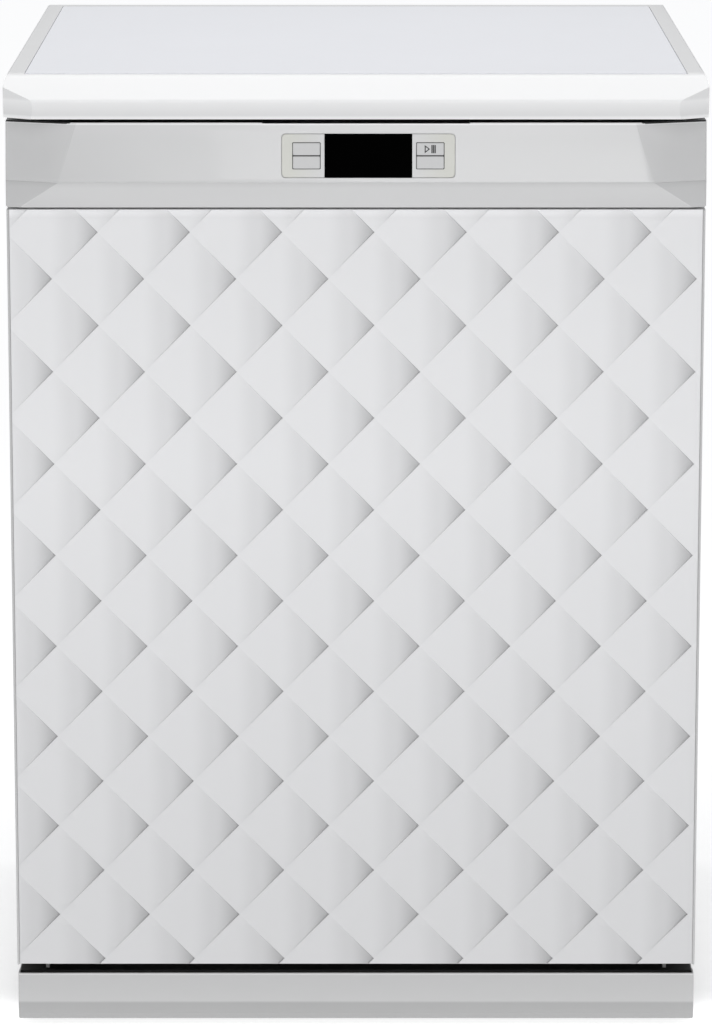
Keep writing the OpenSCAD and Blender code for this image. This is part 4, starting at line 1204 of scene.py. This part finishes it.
def make_tub():
    lo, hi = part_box("tub")
    sheet = 1 * MM
    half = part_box("rack_rails")[1].x
    floor_z = lo.z + sheet
    ledge_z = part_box("lower_wheels_front")[0].z
    top = hi.z - 15 * MM
    ledge = half - 28 * MM
    shape = (half, ledge, floor_z, ledge_z, top)
    shell = finish_mesh(prism(tub_outline(*shape, sheet), along_y, lo.y, hi.y), "tub_body")
    flange = [(-half - 29 * MM, ledge_z + 8 * MM), (half + 29 * MM, ledge_z + 8 * MM)]
    flange += [(half + 29 * MM, top + 15 * MM), (-half - 29 * MM, top + 15 * MM)]
    frame_sheet = prism(round_outline(flange, [6 * MM] * 4), along_y, lo.y, lo.y + sheet)
    boolean(shell, finish_mesh(frame_sheet, "flange"), "UNION")
    inside = prism(tub_outline(*shape, 0), along_y, lo.y - sheet, hi.y - sheet)
    boolean(shell, finish_mesh(inside, "inside"))
    for node, clearance in (("sump", 0.5), ("salt_cap", 3)):
        a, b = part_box(node)
        centre = (a + b) / 2
        r = (b.x - a.x) / 2 + clearance * MM
        low, high = (centre.x, centre.y, lo.z - sheet), (centre.x, centre.y, lo.z + 9 * MM)
        boolean(shell, rod(low, high, r, "hole", 0, 96))
    riser = Vector((0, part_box("riser_tube")[1].y - 7 * MM, lo.z))
    boolean(shell, rod(riser - Vector((0, 0, sheet)), riser + Vector((0, 0, 9 * MM)), 7.5 * MM))
    smooth_by_angle(shell, 30)
    dress(shell, "tub_steel", "cabinet", "tub")


def make_liner():
    """The door's steel inner wall, with two raised fields that stiffen it."""
    liner = refine("door_inner_liner", 0.4 * MM, 2, "door_inner_wall")
    lo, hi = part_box("door_inner_liner")
    cup_lo, cup_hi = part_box("dispenser_body")
    side = 212 * MM
    below = (lo.z + 110 * MM, cup_lo.z - 40 * MM)
    above = (cup_hi.z + 40 * MM, hi.z - 120 * MM)
    for z0, z1 in (below, above):
        ridge_lo, ridge_hi = (-side, hi.y - 0.6 * MM, z0), (side, hi.y + 3 * MM, z1)
        boolean(liner, block(ridge_lo, ridge_hi, 1.7 * MM, "field"), "UNION")
    smooth_by_angle(liner, 40)


NOZZLES = 6  # on each arm of a spray arm


def make_spray_arm(node, body):
    """A two-armed paddle with rounded edges, a wide hub round its bore and a row of nozzles on
    each arm.
    """
    lo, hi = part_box(node)
    centre = (lo + hi) / 2
    reach = hi.x - 11 * MM
    outline = bow((reach, 0), (11 * MM, 11 * MM), -80, 80, 8)
    outline += [(11 * MM, 24 * MM)] + bow((0, 0), (30 * MM, 30 * MM), 62, 118, 8)
    outline += [(-11 * MM, 24 * MM)] + bow((-reach, 0), (11 * MM, 11 * MM), 100, 260, 8)
    outline += [(-11 * MM, -24 * MM)] + bow((0, 0), (30 * MM, 30 * MM), 242, 298, 8)
    outline += [(11 * MM, -24 * MM)]
    bm = prism(outline, along_z, lo.z, hi.z)
    bm.transform(Matrix.Translation((0, centre.y, 0)))
    soften(bm, 3 * MM, 60, 4)
    arm = finish_mesh(bm, node + "_paddle", 40)
    low, high = Vector((0, centre.y, lo.z - 5 * MM)), Vector((0, centre.y, hi.z + 5 * MM))
    boolean(arm, rod(low, high, 8.1 * MM, "bore", 0, 48))
    for side in (-1, 1):
        for i in range(NOZZLES):
            x, y = side * (56 + 26 * i) * MM, centre.y + ((i % 2) * 8 - 4) * MM
            low, high = (x, y, hi.z - 2.5 * MM), (x, y, hi.z + 3 * MM)
            boolean(arm, rod(low, high, 2 * MM, "nozzle", 0, 16))
    smooth_by_angle(arm, 40)
    dress(arm, "spray_plastic", body, node)


# ---- Feet and springs ------------------------------------


def make_foot(node):
    """A levelling foot, with the thread on its screw."""
    refine(node, 1 * MM, 3)
    lo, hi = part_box(node)
    centre = (lo + hi) / 2
    start = (centre.x, centre.y, lo.z + 15 * MM)
    turns = coil(start, (centre.x, centre.y, hi.z - 2 * MM), 4.6 * MM, 2 * MM)
    thread = wires([(turns, False)], 0.45 * MM, node + "_thread", 1)
    dress(thread, "foot_plastic", node)


def make_springs():
    """Door springs: a close coil in the cabinet, whose hook runs forward to the hinge arm."""
    lo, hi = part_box("door_springs")
    z = (lo.z + hi.z) / 2
    x_hook = hi.x - 7 * MM
    front = lo.y - 4 * MM
    coil_front, coil_back = lo.y + 16 * MM, hi.y - 14 * MM
    count = 16
    for side, word in ((-1, "left"), (1, "right")):
        x = side * x_hook
        spring = coil((x, coil_front, z), (x, coil_back, z), 5.6 * MM, 3.1 * MM)
        tail = [(x, coil_back, z), (x, hi.y - 2 * MM, z)]
        body = wires([(spring, False), (tail, False)], 1.3 * MM, "door_spring_" + word)
        dress(body, "spring_steel", "cabinet")
        reach = coil_front + 3 * MM - front
        line = [(x, front + reach * i / count, z) for i in range(count + 1)]
        hook = wires([(line, False)], 1.2 * MM, "spring_hook_" + word)
        hook.data.materials.append(MATERIALS["spring_steel"])
        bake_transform(hook)
        if side == 1:
            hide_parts("door_springs")


# ---- Everything together ---------------------------------

SOFTENED = {
    "base_tray": 1.2,
    "side_panel_left": 0.4,
    "side_panel_right": 0.4,
    "back_panel": 0.4,
    "tub_gasket": 2.4,
    "lower_seal": 2.0,
    "plinth": 0.5,
    "top_rail": 0.4,
    "door_strike": 0.5,
    "hinge_brackets": 0.5,
    "rack_rails": 0.4,
    "sump": 0.8,
    "circulation_pump": 0.8,
    "drain_pump": 0.8,
    "flow_heater": 0.8,
    "inlet_valve": 0.8,
    "water_chamber": 2.5,
    "riser_tube": 0.8,
    "softener": 2.5,
    "mains_inlet": 0.4,
    "power_module": 0.8,
    "hoses": 0.6,
    "door_outer_panel": 0.8,
    "control_board": 0.2,
    "door_latch": 0.8,
    "dispenser_body": 1.0,
    "hinge_arms": 0.5,
    "door_insulation": 3.0,
    "detergent_lid": 0.9,
    "rinse_cap": 0.8,
    "cutlery_basket": 0.5,
    "lower_wheels_front": 1.0,
    "lower_wheels_rear": 1.0,
    "upper_slides": 0.8,
    "upper_feed_pipe": 1.0,
    "filter": 0.5,
    "salt_cap": 1.0,
}

make_camera()
make_light()
make_stage()
SCENE.view_settings.view_transform = "Standard"
make_lid()
make_fascia()
make_controls()
make_quilt()
make_tub()
make_liner()
make_lower_rack()
make_upper_rack()
make_spray_arm("upper_spray_arm", "upper_spray_arm")
make_spray_arm("lower_spray_arm", "lower_spray_arm")
for corner in ("front_left", "front_right", "rear_left", "rear_right"):
    make_foot("foot_" + corner)
make_springs()
for node, edge in SOFTENED.items():
    piece = refine(node, edge * MM)
    if node == "plinth":
        piece.data.materials[0] = MATERIALS["plinth_paint_and_shade"]
